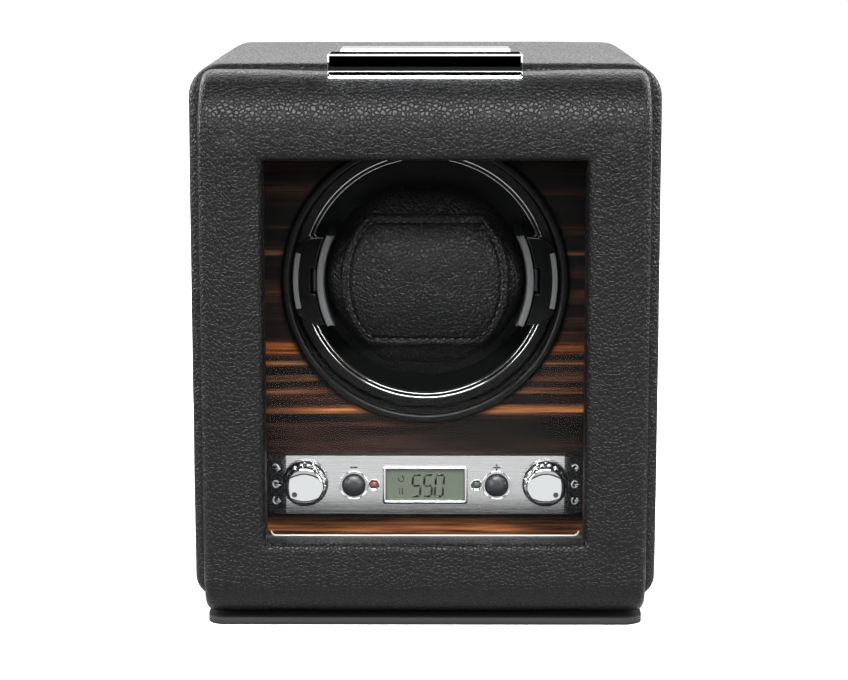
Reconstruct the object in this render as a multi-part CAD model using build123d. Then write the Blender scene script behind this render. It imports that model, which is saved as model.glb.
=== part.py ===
from build123d import *
import math
import os

# Single watch winder: a leather-covered box with a drop-down glazed cover.
# Millimetres, +Z up, the front faces -Y, and the origin lies on the table under the
# middle of the box.  Every place below is worked out from the driving sizes.

os.makedirs("parts", exist_ok=True)

# --- driving sizes: the box ------------------------------------------------------
case_width = 155.0  # over the side leather
box_depth = 172.0  # cover front to case back
case_top = 182.5  # leather top above the table
board_thick = 8.0
leather_thick = 1.6
top_corner_r = 11.0  # long edges along the top
foot_corner_r = 8.0  # long edges along the bottom
rim_r = 4.0  # front and back rims of the case
base_thick = 2.4
base_side_inset = 6.0
base_front_inset = 6.0
base_corner_r = 6.0
fit_gap = 0.2  # pieces that drop into a housing
seam_gap = 0.6  # between the closed cover and the case
run_gap = 0.3  # between pieces that move past each other

# --- driving sizes: the cover ----------------------------------------------------
cover_width = 144.0
cover_thick = 27.0
cover_lift = 0.9  # cover above the base board
cover_drop = 1.7  # cover top below the case top
top_roll_r = 20.0  # rolled front edge along the top
rear_edge_r = 2.0
side_edge_r = 3.0
cover_leather_thick = 1.4
window_width = 103.2
window_height = 124.8
window_above_hinge = 11.7  # window's lower edge over the hinge pin
window_edge_r = 1.0
front_wall = 9.5  # leather and board in front of the glass
pocket_width = 120.0
pocket_above_hinge = 6.7
pocket_head = 168.5
glass_thick = 3.0
glass_lap = 4.5  # glass beyond the window on each side
retainer_depth = 7.0
retainer_lap = 1.5  # retainer opening beyond the window

# --- driving sizes: the cover hinge ----------------------------------------------
arm_spacing = 90.0
arm_width = 12.0
arm_leaf_thick = 2.5
arm_leaf_reach = 28.0  # length of leaf behind the seam
arm_eye_r = 5.0
arm_neck_above = 1.2  # top of the neck above the pin
hinge_pin_r = 2.0
hinge_pin_length = 26.0
pin_clearance = 0.05
slot_side_gap = 0.5

# --- driving sizes: the clasp ----------------------------------------------------
flap_width = 62.4
flap_front = 13.0  # behind the cover's front
flap_thick = 4.6
flap_lift = 0.9  # flap above the cover's top
flap_edge_r = 0.6
clasp_pin_r = 1.0
clasp_knuckle_r = 1.7
clasp_pin_behind_seam = 2.8
clasp_base_width = 55.5
clasp_base_length = 17.0
clasp_base_thick = 3.8
clasp_knuckle_width = 35.0
magnet_size = (24.0, 8.0, 2.0)
keeper_thick = 0.8
keeper_proud = 0.2

# --- driving sizes: the fascia and the liner -------------------------------------
fascia_setback = 37.0  # behind the cover's front
veneer_thick = 0.8
fascia_board_thick = 5.0
fascia_foot = 17.0
liner_side = 9.9  # width of the liner's side rails
liner_head = 9.4
shelf_top = 22.5  # black shelf under the fascia
batten_size = 8.0
block_size = 12.0

# --- driving sizes: the drum -----------------------------------------------------
drum_height = 109.7  # drum axis above the table
bezel_width = 3.2
bezel_gap = 0.6  # between the rotor flange and the bezel
bezel_proud = 2.4
housing_gap = 2.4  # between the rotor and the housing
housing_wall = 2.0
housing_flange_reach = 8.6
housing_flange_thick = 3.0
rotor_flange_reach = 2.4
rotor_flange_thick = 2.7
rotor_flange_setback = 10.0  # behind the fascia
rotor_outer_r = 42.0
rotor_wall = 2.1
rotor_depth = 38.0  # flange front to the back of the floor
rotor_floor = 3.0
ring_lap = 0.2  # ring inside the rotor wall
ring_proud = 1.0
ring_depth = 3.0
arm_depth = 3.2  # arm rails inside the rotor wall
arm_head_proud = 10.5  # arm heads in front of the flange
arm_half_height = 15.5
arm_outer_half_height = 9.5
arm_rail_gap = 0.1
groove_depth = 1.6
groove_half_height = 4.3
floor_gap = 2.2
housing_floor = 3.0
shaft_r = 4.0
bush_outer_r = 7.0
boss_r = 9.5
boss_length = 12.0

# --- driving sizes: the drive ----------------------------------------------------
pulley_r = 26.0
motor_pulley_r = 5.0
pulley_flange = 2.5  # flange height over the groove
pulley_width = 7.0
pulley_flange_thick = 1.5
pulley_gap = 3.0  # between the boss and the pulley
belt_width = 3.0
belt_thick = 1.2
motor_gap = 5.1  # between the gearbox and the housing
gearbox_r = 12.5
gearbox_length = 17.0
motor_can_r = 10.0
motor_can_length = 14.0
motor_shaft_r = 2.0
motor_boss_r = 4.5
bracket_thick = 3.0
bracket_half_width = 16.0
bracket_lap = 20.0  # bracket overlap on the housing floor
motor_screw_offset = 8.5

# --- driving sizes: the controls -------------------------------------------------
plate_width = 108.0
plate_height = 20.0
plate_foot = 31.2
plate_proud = 5.5
plate_wall = 3.0
plate_flat_width = 93.5
plate_rim = 4.0
plate_bow = 1.0  # how far the end curves stand outside a straight chamfer
plate_slope = 0.12  # fall of the end's top edge, of the plate's height
knob_spacing = 80.6
knob_rise = 0.8  # knob axes above the middle of the plate
knob_skirt_r = 7.7
knob_crown_r = 6.2
knob_height = 6.4
knob_skirt_height = 3.6
knob_lift = 0.4
knob_flutes = 14
knob_flute_r = 1.1
dimple_r = 0.7  # pointer dimple in the knob's crown
dimple_depth = 0.8
dimple_out = 3.4
dimple_down = 2.6
switch_shaft_r = 3.0
switch_size = 11.0
switch_depth = 8.0
switch_bore = 5.0  # how far the switch takes its shaft
button_spacing = 48.0
button_r = 3.7
button_proud = 1.6
button_travel = 0.8
button_stem_r = 1.6
rim_width = 0.7
rim_proud = 0.5
lamp_spacing = 34.4
lamp_r = 1.3
display_width = 26.0
display_height = 10.4
display_thick = 2.0
display_frame = 1.3
display_frame_proud = 0.6
board_width = 104.0
board_height = 27.0
circuit_thick = 1.6
circuit_gap = 3.0  # circuit board behind the fascia
board_screw_edge = 3.0  # screw centres inside the circuit board's edge
tact_size = 6.0

# --- driving sizes: the cuff -----------------------------------------------------
cuff_half_height = 31.0
cuff_half_depth = 18.0
cuff_front = 34.5  # pad front behind the cover's front
cuff_skin = 5.0  # padding over the core
cap_thick = 2.6
cap_lap = 0.2  # caps inside the pad
cap_half_height = 15.3
cap_depth = 32.0
tongue_half_height = 4.0
tongue_reach = 1.3
patch_thick = 1.2
patch_width = 57.0
patch_height = 45.0
patch_flat = 36.0

# --- driving sizes: the back -----------------------------------------------------
back_board_thick = 6.2
back_leather_thick = 1.2
back_recess = 1.0
inlet_x = -45.0
inlet_z = 31.0
inlet_barrel_r = 5.5
inlet_flange_r = 7.5
inlet_bore_r = 3.2
inlet_pin_r = 1.0
inlet_depth = 12.0
inlet_flange_thick = 0.8
inlet_nut_thick = 2.5
screw_r = 1.3
screw_head_r = 2.6
screw_head_thick = 1.6
lead_r = 1.2
lead_height = 36.0  # supply lead at the circuit board
lead_drift = 14.0  # sideways, from the inlet to the circuit board
lead_entry = 20.0  # straight run behind the inlet
lead_fall = 26.0  # front to back, each of the lead's two low bends
lead_exit = 16.0  # straight run behind the circuit board

# --- places that follow from the sizes -------------------------------------------
front_y = -box_depth / 2
back_y = box_depth / 2
seam_y = front_y + cover_thick
case_front_y = seam_y + seam_gap
case_foot = base_thick
wall = board_thick + leather_thick
cavity_half = case_width / 2 - wall
cavity_foot = case_foot + wall
cavity_head = case_top - wall
fascia_y = front_y + fascia_setback
fascia_back_y = fascia_y + veneer_thick + fascia_board_thick
cover_foot = base_thick + cover_lift
cover_head = case_top - cover_drop
foot_roll_r = cover_thick / 2
hinge_y = front_y + foot_roll_r
hinge_z = cover_foot + foot_roll_r
window_foot = hinge_z + window_above_hinge
pocket_foot = hinge_z + pocket_above_hinge
window_head = window_foot + window_height
rotor_inner_r = rotor_outer_r - rotor_wall
rotor_flange_r = rotor_outer_r + rotor_flange_reach
ring_inner_r = rotor_inner_r - ring_lap
bezel_inner_r = rotor_flange_r + bezel_gap
bezel_outer_r = bezel_inner_r + bezel_width
housing_outer_r = rotor_outer_r + housing_gap + housing_wall
housing_flange_r = housing_outer_r + housing_flange_reach
arm_inner_r = rotor_inner_r - arm_depth
arm_rail_r = rotor_inner_r - arm_rail_gap
cap_outer_r = arm_inner_r - run_gap
cap_inner_r = cap_outer_r - cap_thick
cuff_round_r = cap_inner_r - cap_lap
glass_y = front_y + front_wall
flange_y = fascia_y + rotor_flange_setback
rotor_back_y = flange_y + rotor_depth
floor_y = rotor_back_y + floor_gap
housing_back_y = floor_y + housing_floor
boss_back_y = housing_back_y + boss_length
pulley_y = boss_back_y + pulley_gap
pulley_spacing = housing_outer_r + motor_gap + gearbox_r
motor_z = drum_height - pulley_spacing
plate_y = fascia_y - plate_proud
plate_z = plate_foot + plate_height / 2
knob_z = plate_z + knob_rise
circuit_y = fascia_back_y + circuit_gap
cuff_y = front_y + cuff_front + cuff_half_depth
clasp_pin_y = seam_y + clasp_pin_behind_seam + seam_gap
flap_foot = cover_head + flap_lift
flap_head = flap_foot + flap_thick
clasp_pin_z = flap_head - clasp_knuckle_r
back_leather_y = back_y - back_recess - back_leather_thick
back_board_y = back_leather_y - back_board_thick


# --- small helpers ---------------------------------------------------------------
def block(x0, x1, y0, y1, z0, z1):
    """A box from its lowest to its highest corner."""
    middle = Pos((x0 + x1) / 2, (y0 + y1) / 2, (z0 + z1) / 2)
    return middle * Box(x1 - x0, y1 - y0, z1 - z0)


def rod(r, y0, y1, x=0.0, z=drum_height):
    """A cylinder along Y."""
    return Pos(x, (y0 + y1) / 2, z) * Rot(90, 0, 0) * Cylinder(r, y1 - y0)


def tube(outer_r, inner_r, y0, y1, x=0.0, z=drum_height):
    """A hollow cylinder along Y."""
    return rod(outer_r, y0, y1, x, z) - rod(inner_r, y0, y1, x, z)


def bar(r, x0, x1, y, z):
    """A cylinder along X."""
    return Pos((x0 + x1) / 2, y, z) * Rot(0, 90, 0) * Cylinder(r, x1 - x0)


def front_shape(points, y0, y1):
    """A polygon drawn in X and Z, pushed from y0 to y1."""
    face = make_face(Polyline(*points, close=True))
    return extrude(Plane((0, y1, 0), x_dir=(1, 0, 0), z_dir=(0, -1, 0)) * face, amount=y1 - y0)


def group(shapes):
    """Several separate solids as one node."""
    solids = [s for shape in shapes for s in shape.solids()]
    return Compound(children=solids)


def edges_along(shape, axis):
    return shape.edges().filter_by(axis)


def screw_back(x, z, seat_y, length):
    """A pan-head screw driven forwards from a seat that faces +Y."""
    head = rod(screw_head_r, seat_y, seat_y + screw_head_thick, x, z)
    return head + rod(screw_r, seat_y - length, seat_y, x, z)


def screw_down(x, y, seat_z, length):
    """A flush screw driven downwards from a seat that faces +Z."""
    return Pos(x, y, seat_z - length / 2) * Cylinder(screw_r, length)


nodes = {}


# --- the case --------------------------------------------------------------------
def case_body(inset):
    """The case's outside, or the boards' outside when inset by the leather."""
    half = case_width / 2 - inset
    body = block(-half, half, case_front_y + inset, back_y - inset, case_foot + inset, case_top - inset)
    long_edges = edges_along(body, Axis.Y).sort_by(Axis.Z)
    body = fillet(long_edges[2:], top_corner_r - inset)
    body = fillet(edges_along(body, Axis.Y).sort_by(Axis.Z)[:2], foot_corner_r - inset)
    rims = body.faces().sort_by(Axis.Y)[0].edges() + body.faces().sort_by(Axis.Y)[-1].edges()
    return fillet(rims, rim_r - inset)


def make_case():
    cavity = block(-cavity_half, cavity_half, front_y, back_y, cavity_foot, cavity_head)
    outside = case_body(0)
    core = case_body(leather_thick)
    nodes["case_leather"] = outside - core - cavity
    boards = core - cavity
    far = case_width
    between = block(-cavity_half, cavity_half, -far, far, 0, 2 * far)
    nodes["side_boards"] = group([boards - between])
    nodes["top_board"] = boards & between & block(-far, far, -far, far, cavity_head, 2 * far)
    nodes["bottom_board"] = boards & between & block(-far, far, -far, far, 0, cavity_foot)

    half = case_width / 2 - base_side_inset
    base = block(-half, half, front_y + base_front_inset, back_y - base_front_inset, 0, base_thick)
    nodes["base_board"] = fillet(edges_along(base, Axis.Z), base_corner_r)


def make_back():
    half = cavity_half - fit_gap
    foot, head = cavity_foot + fit_gap, cavity_head - fit_gap
    board = block(-half, half, back_board_y, back_leather_y, foot, head)
    leather = block(-half, half, back_leather_y, back_leather_y + back_leather_thick, foot, head)
    edge = block_size / 2
    seat_y = back_leather_y + back_leather_thick - screw_head_thick + back_recess / 2
    places = [(x, z) for x in (-half + edge, half - edge) for z in (foot + edge, head - edge)]
    screws = [screw_back(x, z, seat_y, back_board_thick + edge) for x, z in places]
    blocks = [
        block(x - edge, x + edge, back_board_y - block_size, back_board_y, z - edge, z + edge) - screw
        for (x, z), screw in zip(places, screws)
    ]
    barrel = rod(inlet_barrel_r, back_leather_y - inlet_depth, back_y - back_recess, inlet_x, inlet_z)
    for screw in screws:
        board -= screw
        leather -= screw
    nodes["back_board"] = board - barrel
    nodes["back_leather"] = leather - barrel
    nodes["back_screws"] = group(screws)
    nodes["corner_blocks"] = group(blocks)

    face_y = back_y - back_recess
    flange = rod(inlet_flange_r, face_y, face_y + inlet_flange_thick, inlet_x, inlet_z)
    bore = rod(inlet_bore_r, face_y - inlet_depth + leather_thick, face_y + inlet_flange_thick, inlet_x, inlet_z)
    pin = rod(inlet_pin_r, face_y - inlet_depth, face_y - inlet_flange_thick, inlet_x, inlet_z)
    nodes["power_inlet"] = barrel + flange - bore + pin
    nut_y = back_board_y
    nut_front = nut_y - inlet_nut_thick
    nut = rod(inlet_barrel_r + 2, nut_front, nut_y, inlet_x, inlet_z)
    nodes["inlet_nut"] = nut - rod(inlet_barrel_r, nut_front, nut_y, inlet_x, inlet_z)


# --- the cover -------------------------------------------------------------------
def cover_section(grow):
    """The cover's side outline in Y and Z, grown outwards by a thickness."""
    roll, rear, foot = top_roll_r + grow, rear_edge_r + grow, foot_roll_r + grow
    low_front = (front_y - grow, hinge_z)
    high_front = (front_y - grow, cover_head - top_roll_r)
    top_front = (front_y + top_roll_r, cover_head + grow)
    top_rear = (seam_y - rear_edge_r, cover_head + grow)
    high_rear = (seam_y + grow, cover_head - rear_edge_r)
    low_rear = (seam_y + grow, hinge_z)
    slant = math.sqrt(0.5)
    roll_mid = (front_y + top_roll_r - roll * slant, cover_head - top_roll_r + roll * slant)
    rear_mid = (seam_y - rear_edge_r + rear * slant, cover_head - rear_edge_r + rear * slant)
    outline = [
        Line(low_front, high_front),
        ThreePointArc(high_front, roll_mid, top_front),
        Line(top_front, top_rear),
        ThreePointArc(top_rear, rear_mid, high_rear),
        Line(high_rear, low_rear),
        ThreePointArc(low_rear, (hinge_y, hinge_z - foot), low_front),
    ]
    return Plane.YZ * make_face(outline)


def cover_body(grow):
    """The cover as one plain slab with soft side edges."""
    body = extrude(cover_section(grow), amount=cover_width / 2 + grow, both=True)
    sides = body.faces().sort_by(Axis.X)[0].edges() + body.faces().sort_by(Axis.X)[-1].edges()
    return fillet(sides, side_edge_r + grow)


def window_block(grow, y0, y1):
    half = window_width / 2 + grow
    return block(-half, half, y0, y1, window_foot - grow, window_head + grow)


def arm_places():
    return [side * arm_spacing / 2 for side in (-1, 1)]


def make_cover():
    skin = cover_leather_thick
    outside, core = cover_body(0), cover_body(-skin)
    pocket = block(-pocket_width / 2, pocket_width / 2, glass_y, case_front_y, pocket_foot, pocket_head)
    slots = [
        block(
            x - arm_width / 2 - slot_side_gap,
            x + arm_width / 2 + slot_side_gap,
            hinge_y - arm_eye_r - slot_side_gap,
            case_front_y,
            0,
            hinge_z + arm_eye_r + slot_side_gap,
        )
        for x in arm_places()
    ]
    pins = [
        bar(hinge_pin_r, x - hinge_pin_length / 2, x + hinge_pin_length / 2, hinge_y, hinge_z)
        for x in arm_places()
    ]
    keeper = extrude(cover_section(keeper_proud), amount=flap_width / 2, both=True)
    keeper -= extrude(cover_section(keeper_proud - keeper_thick), amount=flap_width / 2, both=True)
    keeper &= block(
        -flap_width / 2,
        flap_width / 2,
        front_y + flap_front - 2,
        seam_y - rear_edge_r,
        cover_head - top_roll_r / 2,
        case_top,
    )

    frame = core - window_block(skin, front_y, seam_y) - pocket
    window_sleeve = window_block(skin, front_y + skin, glass_y)
    leather = (outside - core) + (outside & window_sleeve) - window_block(0, front_y, seam_y) - pocket
    for cut in slots:
        frame -= cut
        leather -= cut
    for pin in pins:
        frame -= pin
    rim = [e for e in leather.edges() if on_window_rim(e)]
    nodes["cover_leather"] = fillet(rim, window_edge_r) - keeper
    nodes["cover_frame"] = frame - keeper
    nodes["clasp_keeper"] = keeper
    nodes["hinge_pins"] = group(pins)

    half = window_width / 2 + glass_lap
    glass = block(
        -half,
        half,
        glass_y,
        glass_y + glass_thick,
        max(window_foot - glass_lap, pocket_foot + fit_gap),
        window_head + glass_lap,
    )
    nodes["window_glass"] = glass
    retainer = block(
        -pocket_width / 2 + fit_gap,
        pocket_width / 2 - fit_gap,
        glass_y,
        glass_y + retainer_depth,
        pocket_foot + fit_gap,
        pocket_head - fit_gap,
    )
    nodes["glass_retainer"] = retainer - glass - window_block(retainer_lap, glass_y, seam_y)


def on_window_rim(edge):
    """True for the four edges where the window meets the cover's front."""
    box = edge.bounding_box()
    flat = abs(box.min.Y - front_y) < 1e-3 and abs(box.max.Y - front_y) < 1e-3
    inside = abs(box.min.X) < window_width / 2 + 1 and abs(box.max.X) < window_width / 2 + 1
    return flat and inside and box.min.Z > window_foot - 1 and box.max.Z < window_head + 1


def make_hinge_arms():
    """Two arms reach from the case floor into slots in the cover's foot."""
    leaf_foot = cavity_foot
    leaf_back = case_front_y + arm_leaf_reach
    arms, screws = [], []
    for x in arm_places():
        x0, x1 = x - arm_width / 2, x + arm_width / 2
        arm = block(x0, x1, case_front_y, leaf_back, leaf_foot, leaf_foot + arm_leaf_thick)
        arm += block(x0, x1, hinge_y, case_front_y + 1, leaf_foot, hinge_z + arm_neck_above)
        arm += bar(arm_eye_r, x0, x1, hinge_y, hinge_z)
        arm -= bar(hinge_pin_r + pin_clearance, x0, x1, hinge_y, hinge_z)
        for step in (1, 2):
            y = leaf_back - step * arm_leaf_reach / 3
            screw = screw_down(x, y, leaf_foot + arm_leaf_thick, board_thick)
            arm -= screw
            screws.append(screw)
        arms.append(arm)
    for screw in screws:
        nodes["bottom_board"] -= screw
    nodes["hinge_arms"] = group(arms)
    nodes["hinge_screws"] = group(screws)


# --- the clasp -------------------------------------------------------------------
def make_clasp():
    slab_rear = clasp_pin_y - clasp_knuckle_r - run_gap
    half, knuckle = flap_width / 2, clasp_knuckle_width / 2
    slab = block(-half, half, front_y + flap_front, slab_rear, flap_foot, flap_head)
    flap = fillet(slab.edges(), flap_edge_r)
    flap += block(-knuckle, knuckle, slab_rear - 1, clasp_pin_y, clasp_pin_z - 1, clasp_pin_z + 1)
    flap += bar(clasp_knuckle_r, -knuckle, knuckle, clasp_pin_y, clasp_pin_z)
    wide, deep, thick = magnet_size
    magnet_y = (front_y + flap_front + seam_y) / 2 - deep / 2
    magnet = block(-wide / 2, wide / 2, magnet_y, magnet_y + deep, flap_foot, flap_foot + thick)
    pin_half = clasp_base_width / 2
    pin = bar(clasp_pin_r, -pin_half, pin_half, clasp_pin_y, clasp_pin_z)
    nodes["clasp_flap"] = flap - magnet - pin
    nodes["clasp_magnet"] = magnet
    nodes["clasp_pin"] = pin

    base_front = clasp_pin_y + clasp_knuckle_r + 2 * run_gap
    base_back = base_front + clasp_base_length
    plate = block(-pin_half, pin_half, base_front, base_back, case_top, case_top + clasp_base_thick)
    plate = fillet(plate.edges(), flap_edge_r)
    hole = bar(clasp_pin_r + pin_clearance, -pin_half, pin_half, clasp_pin_y, clasp_pin_z)
    for side in (-1, 1):
        inner, outer = side * (knuckle + run_gap), side * pin_half
        x0, x1 = min(inner, outer), max(inner, outer)
        ear = bar(clasp_knuckle_r, x0, x1, clasp_pin_y, clasp_pin_z)
        ear += block(x0, x1, clasp_pin_y, base_front + 1, case_top, clasp_pin_z + 1)
        plate += ear
    plate -= hole
    # Screws rise through the top board into the base plate.
    screws = []
    for side in (-1, 1):
        x = side * clasp_base_width / 3
        y = base_back - screw_head_r - 1
        shank_foot = cavity_head
        shank = Pos(x, y, (shank_foot + case_top + 2) / 2) * Cylinder(screw_r, case_top + 2 - shank_foot)
        head = Pos(x, y, shank_foot - screw_head_thick / 2) * Cylinder(screw_head_r, screw_head_thick)
        screws.append(shank + head)
    for screw in screws:
        plate -= screw
        nodes["top_board"] -= screw
        nodes["case_leather"] -= screw
    nodes["clasp_base"] = plate
    nodes["clasp_screws"] = group(screws)


# --- the fascia and what carries it ----------------------------------------------
def controls_opening(y0, y1):
    half = plate_width / 2 - plate_rim
    return block(-half, half, y0, y1, plate_foot + plate_rim / 2, plate_foot + plate_height - plate_rim / 2)


def make_fascia():
    half = cavity_half - fit_gap
    head = cavity_head - fit_gap
    hole = rod(housing_outer_r + fit_gap, fascia_y, fascia_back_y)
    opening = controls_opening(fascia_y, fascia_back_y)
    veneer = block(-half, half, fascia_y, fascia_y + veneer_thick, fascia_foot, head)
    board = block(-half, half, fascia_y + veneer_thick, fascia_back_y, fascia_foot, head)
    nodes["fascia_veneer"] = veneer - hole - opening
    nodes["fascia_board"] = board - hole - opening

    battens = [
        block(
            min(side * cavity_half, side * (cavity_half - batten_size)),
            max(side * cavity_half, side * (cavity_half - batten_size)),
            fascia_back_y,
            fascia_back_y + batten_size,
            shelf_top,
            cavity_head - batten_size,
        )
        for side in (-1, 1)
    ]
    nodes["fascia_battens"] = group(battens)

    liner = block(-half, half, case_front_y, fascia_y, cavity_foot + fit_gap, head)
    inner = cavity_half - liner_side
    liner -= block(-inner, inner, case_front_y, fascia_y, shelf_top, cavity_head - liner_head)
    for x in arm_places():
        reach = arm_width / 2 + slot_side_gap
        liner -= block(x - reach, x + reach, case_front_y, fascia_y, 0, hinge_z + arm_neck_above + run_gap)
    nodes["front_liner"] = liner


# --- the drum and its drive ------------------------------------------------------
def drum_screw_places():
    reach = (housing_flange_r + housing_outer_r) / 2
    angles = [math.radians(45 + 90 * n) for n in range(4)]
    return [(reach * math.cos(a), drum_height + reach * math.sin(a)) for a in angles]


def make_housing():
    bezel = tube(bezel_outer_r, bezel_inner_r, fascia_y - bezel_proud, fascia_y)
    front_edges = [e for e in bezel.edges() if e.center().Y < fascia_y - bezel_proud / 2]
    nodes["drum_bezel"] = fillet(front_edges, (bezel_outer_r - bezel_inner_r) * 0.4)

    step_y = flange_y + rotor_flange_thick + run_gap
    cup_r = rotor_outer_r + 2 * run_gap
    housing = rod(housing_outer_r, fascia_y, fascia_back_y)
    housing += rod(cup_r + housing_wall, fascia_back_y, housing_back_y)
    housing += rod(housing_flange_r, fascia_back_y, fascia_back_y + housing_flange_thick)
    housing += rod(boss_r, housing_back_y, boss_back_y)
    housing -= rod(bezel_inner_r, fascia_y, step_y)
    housing -= rod(cup_r, step_y, floor_y)
    housing -= rod(bush_outer_r, floor_y, boss_back_y)
    nodes["drum_housing"] = housing
    nodes["shaft_bush"] = tube(bush_outer_r, shaft_r + pin_clearance, floor_y, boss_back_y)


def make_bracket_and_motor():
    bracket_head = drum_height - rotor_outer_r + bracket_lap
    bracket_foot = motor_z - bracket_half_width
    y0, y1 = housing_back_y, housing_back_y + bracket_thick
    half = bracket_half_width
    bracket = block(-half, half, y0, y1, bracket_foot, bracket_head)
    bracket = fillet(edges_along(bracket, Axis.Y), bracket_half_width / 4)
    bracket -= rod(motor_boss_r, y0, y1, 0, motor_z)

    lap_z = bracket_head - bracket_lap / 3
    seats = [(x, lap_z, y1, bracket_thick + housing_floor) for x in (-half / 2, half / 2)]
    seats += [(x, motor_z, y1, bracket_thick + 3) for x in (-motor_screw_offset, motor_screw_offset)]
    flange_seat = fascia_back_y + housing_flange_thick
    drum_length = housing_flange_thick + fascia_board_thick - 1
    seats += [(x, z, flange_seat, drum_length) for x, z in drum_screw_places()]
    screws = [screw_back(x, z, seat, length) for x, z, seat, length in seats]

    gearbox = rod(gearbox_r, y0 - gearbox_length, y0, 0, motor_z)
    gearbox += rod(motor_boss_r, y0, y1 + 1, 0, motor_z)
    can_y = y0 - gearbox_length
    motor = gearbox + rod(motor_can_r, can_y - motor_can_length, can_y, 0, motor_z)
    motor -= rod(motor_shaft_r + pin_clearance, y0 - gearbox_length / 2, y1 + 1, 0, motor_z)
    for screw in screws:
        bracket -= screw
        motor -= screw
        nodes["drum_housing"] -= screw
        nodes["fascia_board"] -= screw
    nodes["motor_bracket"] = bracket
    nodes["gear_motor"] = motor
    nodes["module_screws"] = group(screws)

    leads_y = can_y - motor_can_length
    nodes["motor_leads"] = group(
        [rod(lead_r * 0.6, circuit_y + circuit_thick, leads_y, x, motor_z - 4) for x in (-5, 5)]
    )


def grooved_pulley(groove_r, bore_r, x, z):
    y0, y1 = pulley_y, pulley_y + pulley_width
    pulley = rod(groove_r, y0, y1, x, z)
    pulley += rod(groove_r + pulley_flange, y0, y0 + pulley_flange_thick, x, z)
    pulley += rod(groove_r + pulley_flange, y1 - pulley_flange_thick, y1, x, z)
    return pulley - rod(bore_r, y0, y1, x, z)


def belt_loop(grow, y0, y1):
    """The outline of a belt round both pulleys, pushed from y0 to y1."""
    big, small = pulley_r + grow, motor_pulley_r + grow
    lean = math.asin((big - small) / pulley_spacing)
    flank = [
        (math.cos(lean) * big, drum_height - math.sin(lean) * big),
        (math.cos(lean) * small, motor_z - math.sin(lean) * small),
    ]
    points = flank + [(-x, z) for x, z in reversed(flank)]
    return rod(big, y0, y1) + rod(small, y0, y1, 0, motor_z) + front_shape(points, y0, y1)


def make_drive():
    pulley = grooved_pulley(pulley_r, shaft_r, 0, drum_height)
    web_r = pulley_r * 0.62
    for n in range(5):
        angle = math.radians(90 + 72 * n)
        x, z = web_r * math.cos(angle), drum_height + web_r * math.sin(angle)
        pulley -= rod(pulley_r * 0.22, pulley_y, pulley_y + pulley_width, x, z)
    nodes["rotor_pulley"] = pulley
    nodes["motor_pulley"] = grooved_pulley(motor_pulley_r, motor_shaft_r, 0, motor_z)
    shaft_y = housing_back_y - gearbox_length / 2 + run_gap
    nodes["motor_shaft"] = rod(motor_shaft_r, shaft_y, pulley_y + pulley_width + 1, 0, motor_z)
    middle = pulley_y + pulley_width / 2
    y0, y1 = middle - belt_width / 2, middle + belt_width / 2
    nodes["drive_belt"] = belt_loop(run_gap + belt_thick, y0, y1) - belt_loop(run_gap, y0, y1)


def arm_outline():
    """Front outline of the arm on +X: tall inside, shorter outside."""
    tall, short = arm_half_height, arm_outer_half_height
    right = [(arm_inner_r - 8, tall), (arm_inner_r + 1.5, tall - 1), (rotor_flange_r + 2, short)]
    return right + [(x, -z) for x, z in reversed(right)]


def make_rotor():
    flange_back = flange_y + rotor_flange_thick
    cup = rod(rotor_flange_r, flange_y, flange_back) + rod(rotor_outer_r, flange_back, rotor_back_y)
    cup -= rod(rotor_inner_r, flange_y, rotor_back_y - rotor_floor)
    cup += rod(boss_r - 1, rotor_back_y, rotor_back_y + floor_gap / 2)
    cup -= rod(shaft_r, rotor_back_y - rotor_floor, rotor_back_y + floor_gap)

    outline = [(x, z + drum_height) for x, z in arm_outline()]
    head_y = flange_y - arm_head_proud
    rail_end = rotor_back_y - rotor_floor
    head = front_shape(outline, head_y, flange_y) & tube(rotor_flange_r, arm_inner_r, head_y, flange_y)
    rail = front_shape(outline, flange_y, rail_end) & tube(arm_rail_r, arm_inner_r, flange_y, rail_end)
    groove = block(
        0,
        arm_inner_r + groove_depth,
        head_y,
        rail_end,
        drum_height - groove_half_height,
        drum_height + groove_half_height,
    )
    arm = head + rail - groove
    other = mirror(arm, about=Plane.YZ)

    ring = tube(rotor_outer_r, ring_inner_r, flange_y - ring_proud, flange_y - ring_proud + ring_depth)
    cup -= ring
    height = arm_half_height + run_gap
    gap = block(
        -case_width / 2,
        case_width / 2,
        head_y,
        rotor_back_y,
        drum_height - height,
        drum_height + height,
    )
    ring = fillet([e for e in ring.edges() if e.center().Y < flange_y - ring_proud / 2], 0.5) - gap
    nodes["rotor_cup"] = cup
    nodes["rotor_ring"] = group([ring])
    nodes["rotor_arms"] = group([arm, other])
    nodes["rotor_shaft"] = rod(shaft_r, rotor_back_y - rotor_floor, pulley_y + pulley_width + 2)


# --- the cuff --------------------------------------------------------------------
def cuff_oval(grow, half_length):
    """The cuff's oval, which a strap goes round, as a solid along X."""
    oval = Plane((0, cuff_y, drum_height), x_dir=(0, 1, 0), z_dir=(1, 0, 0)) * Ellipse(
        cuff_half_depth + grow, cuff_half_height + grow
    )
    return extrude(oval, amount=half_length, both=True)


def patch_outline():
    """The patch's right half is flat above and below, and bows out at the side."""
    flat, half, tall = patch_flat / 2, patch_width / 2, patch_height / 2
    corners = [(flat, drum_height + tall), (half, drum_height), (flat, drum_height - tall)]
    left = [(-x, z) for x, z in corners]
    outline = [
        Line(left[0], corners[0]),
        ThreePointArc(*corners),
        Line(corners[2], left[2]),
        ThreePointArc(left[2], left[1], left[0]),
    ]
    plane = Plane((0, cuff_y, 0), x_dir=(1, 0, 0), z_dir=(0, -1, 0))
    return extrude(plane * make_face(outline), amount=2 * cuff_half_depth)


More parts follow.
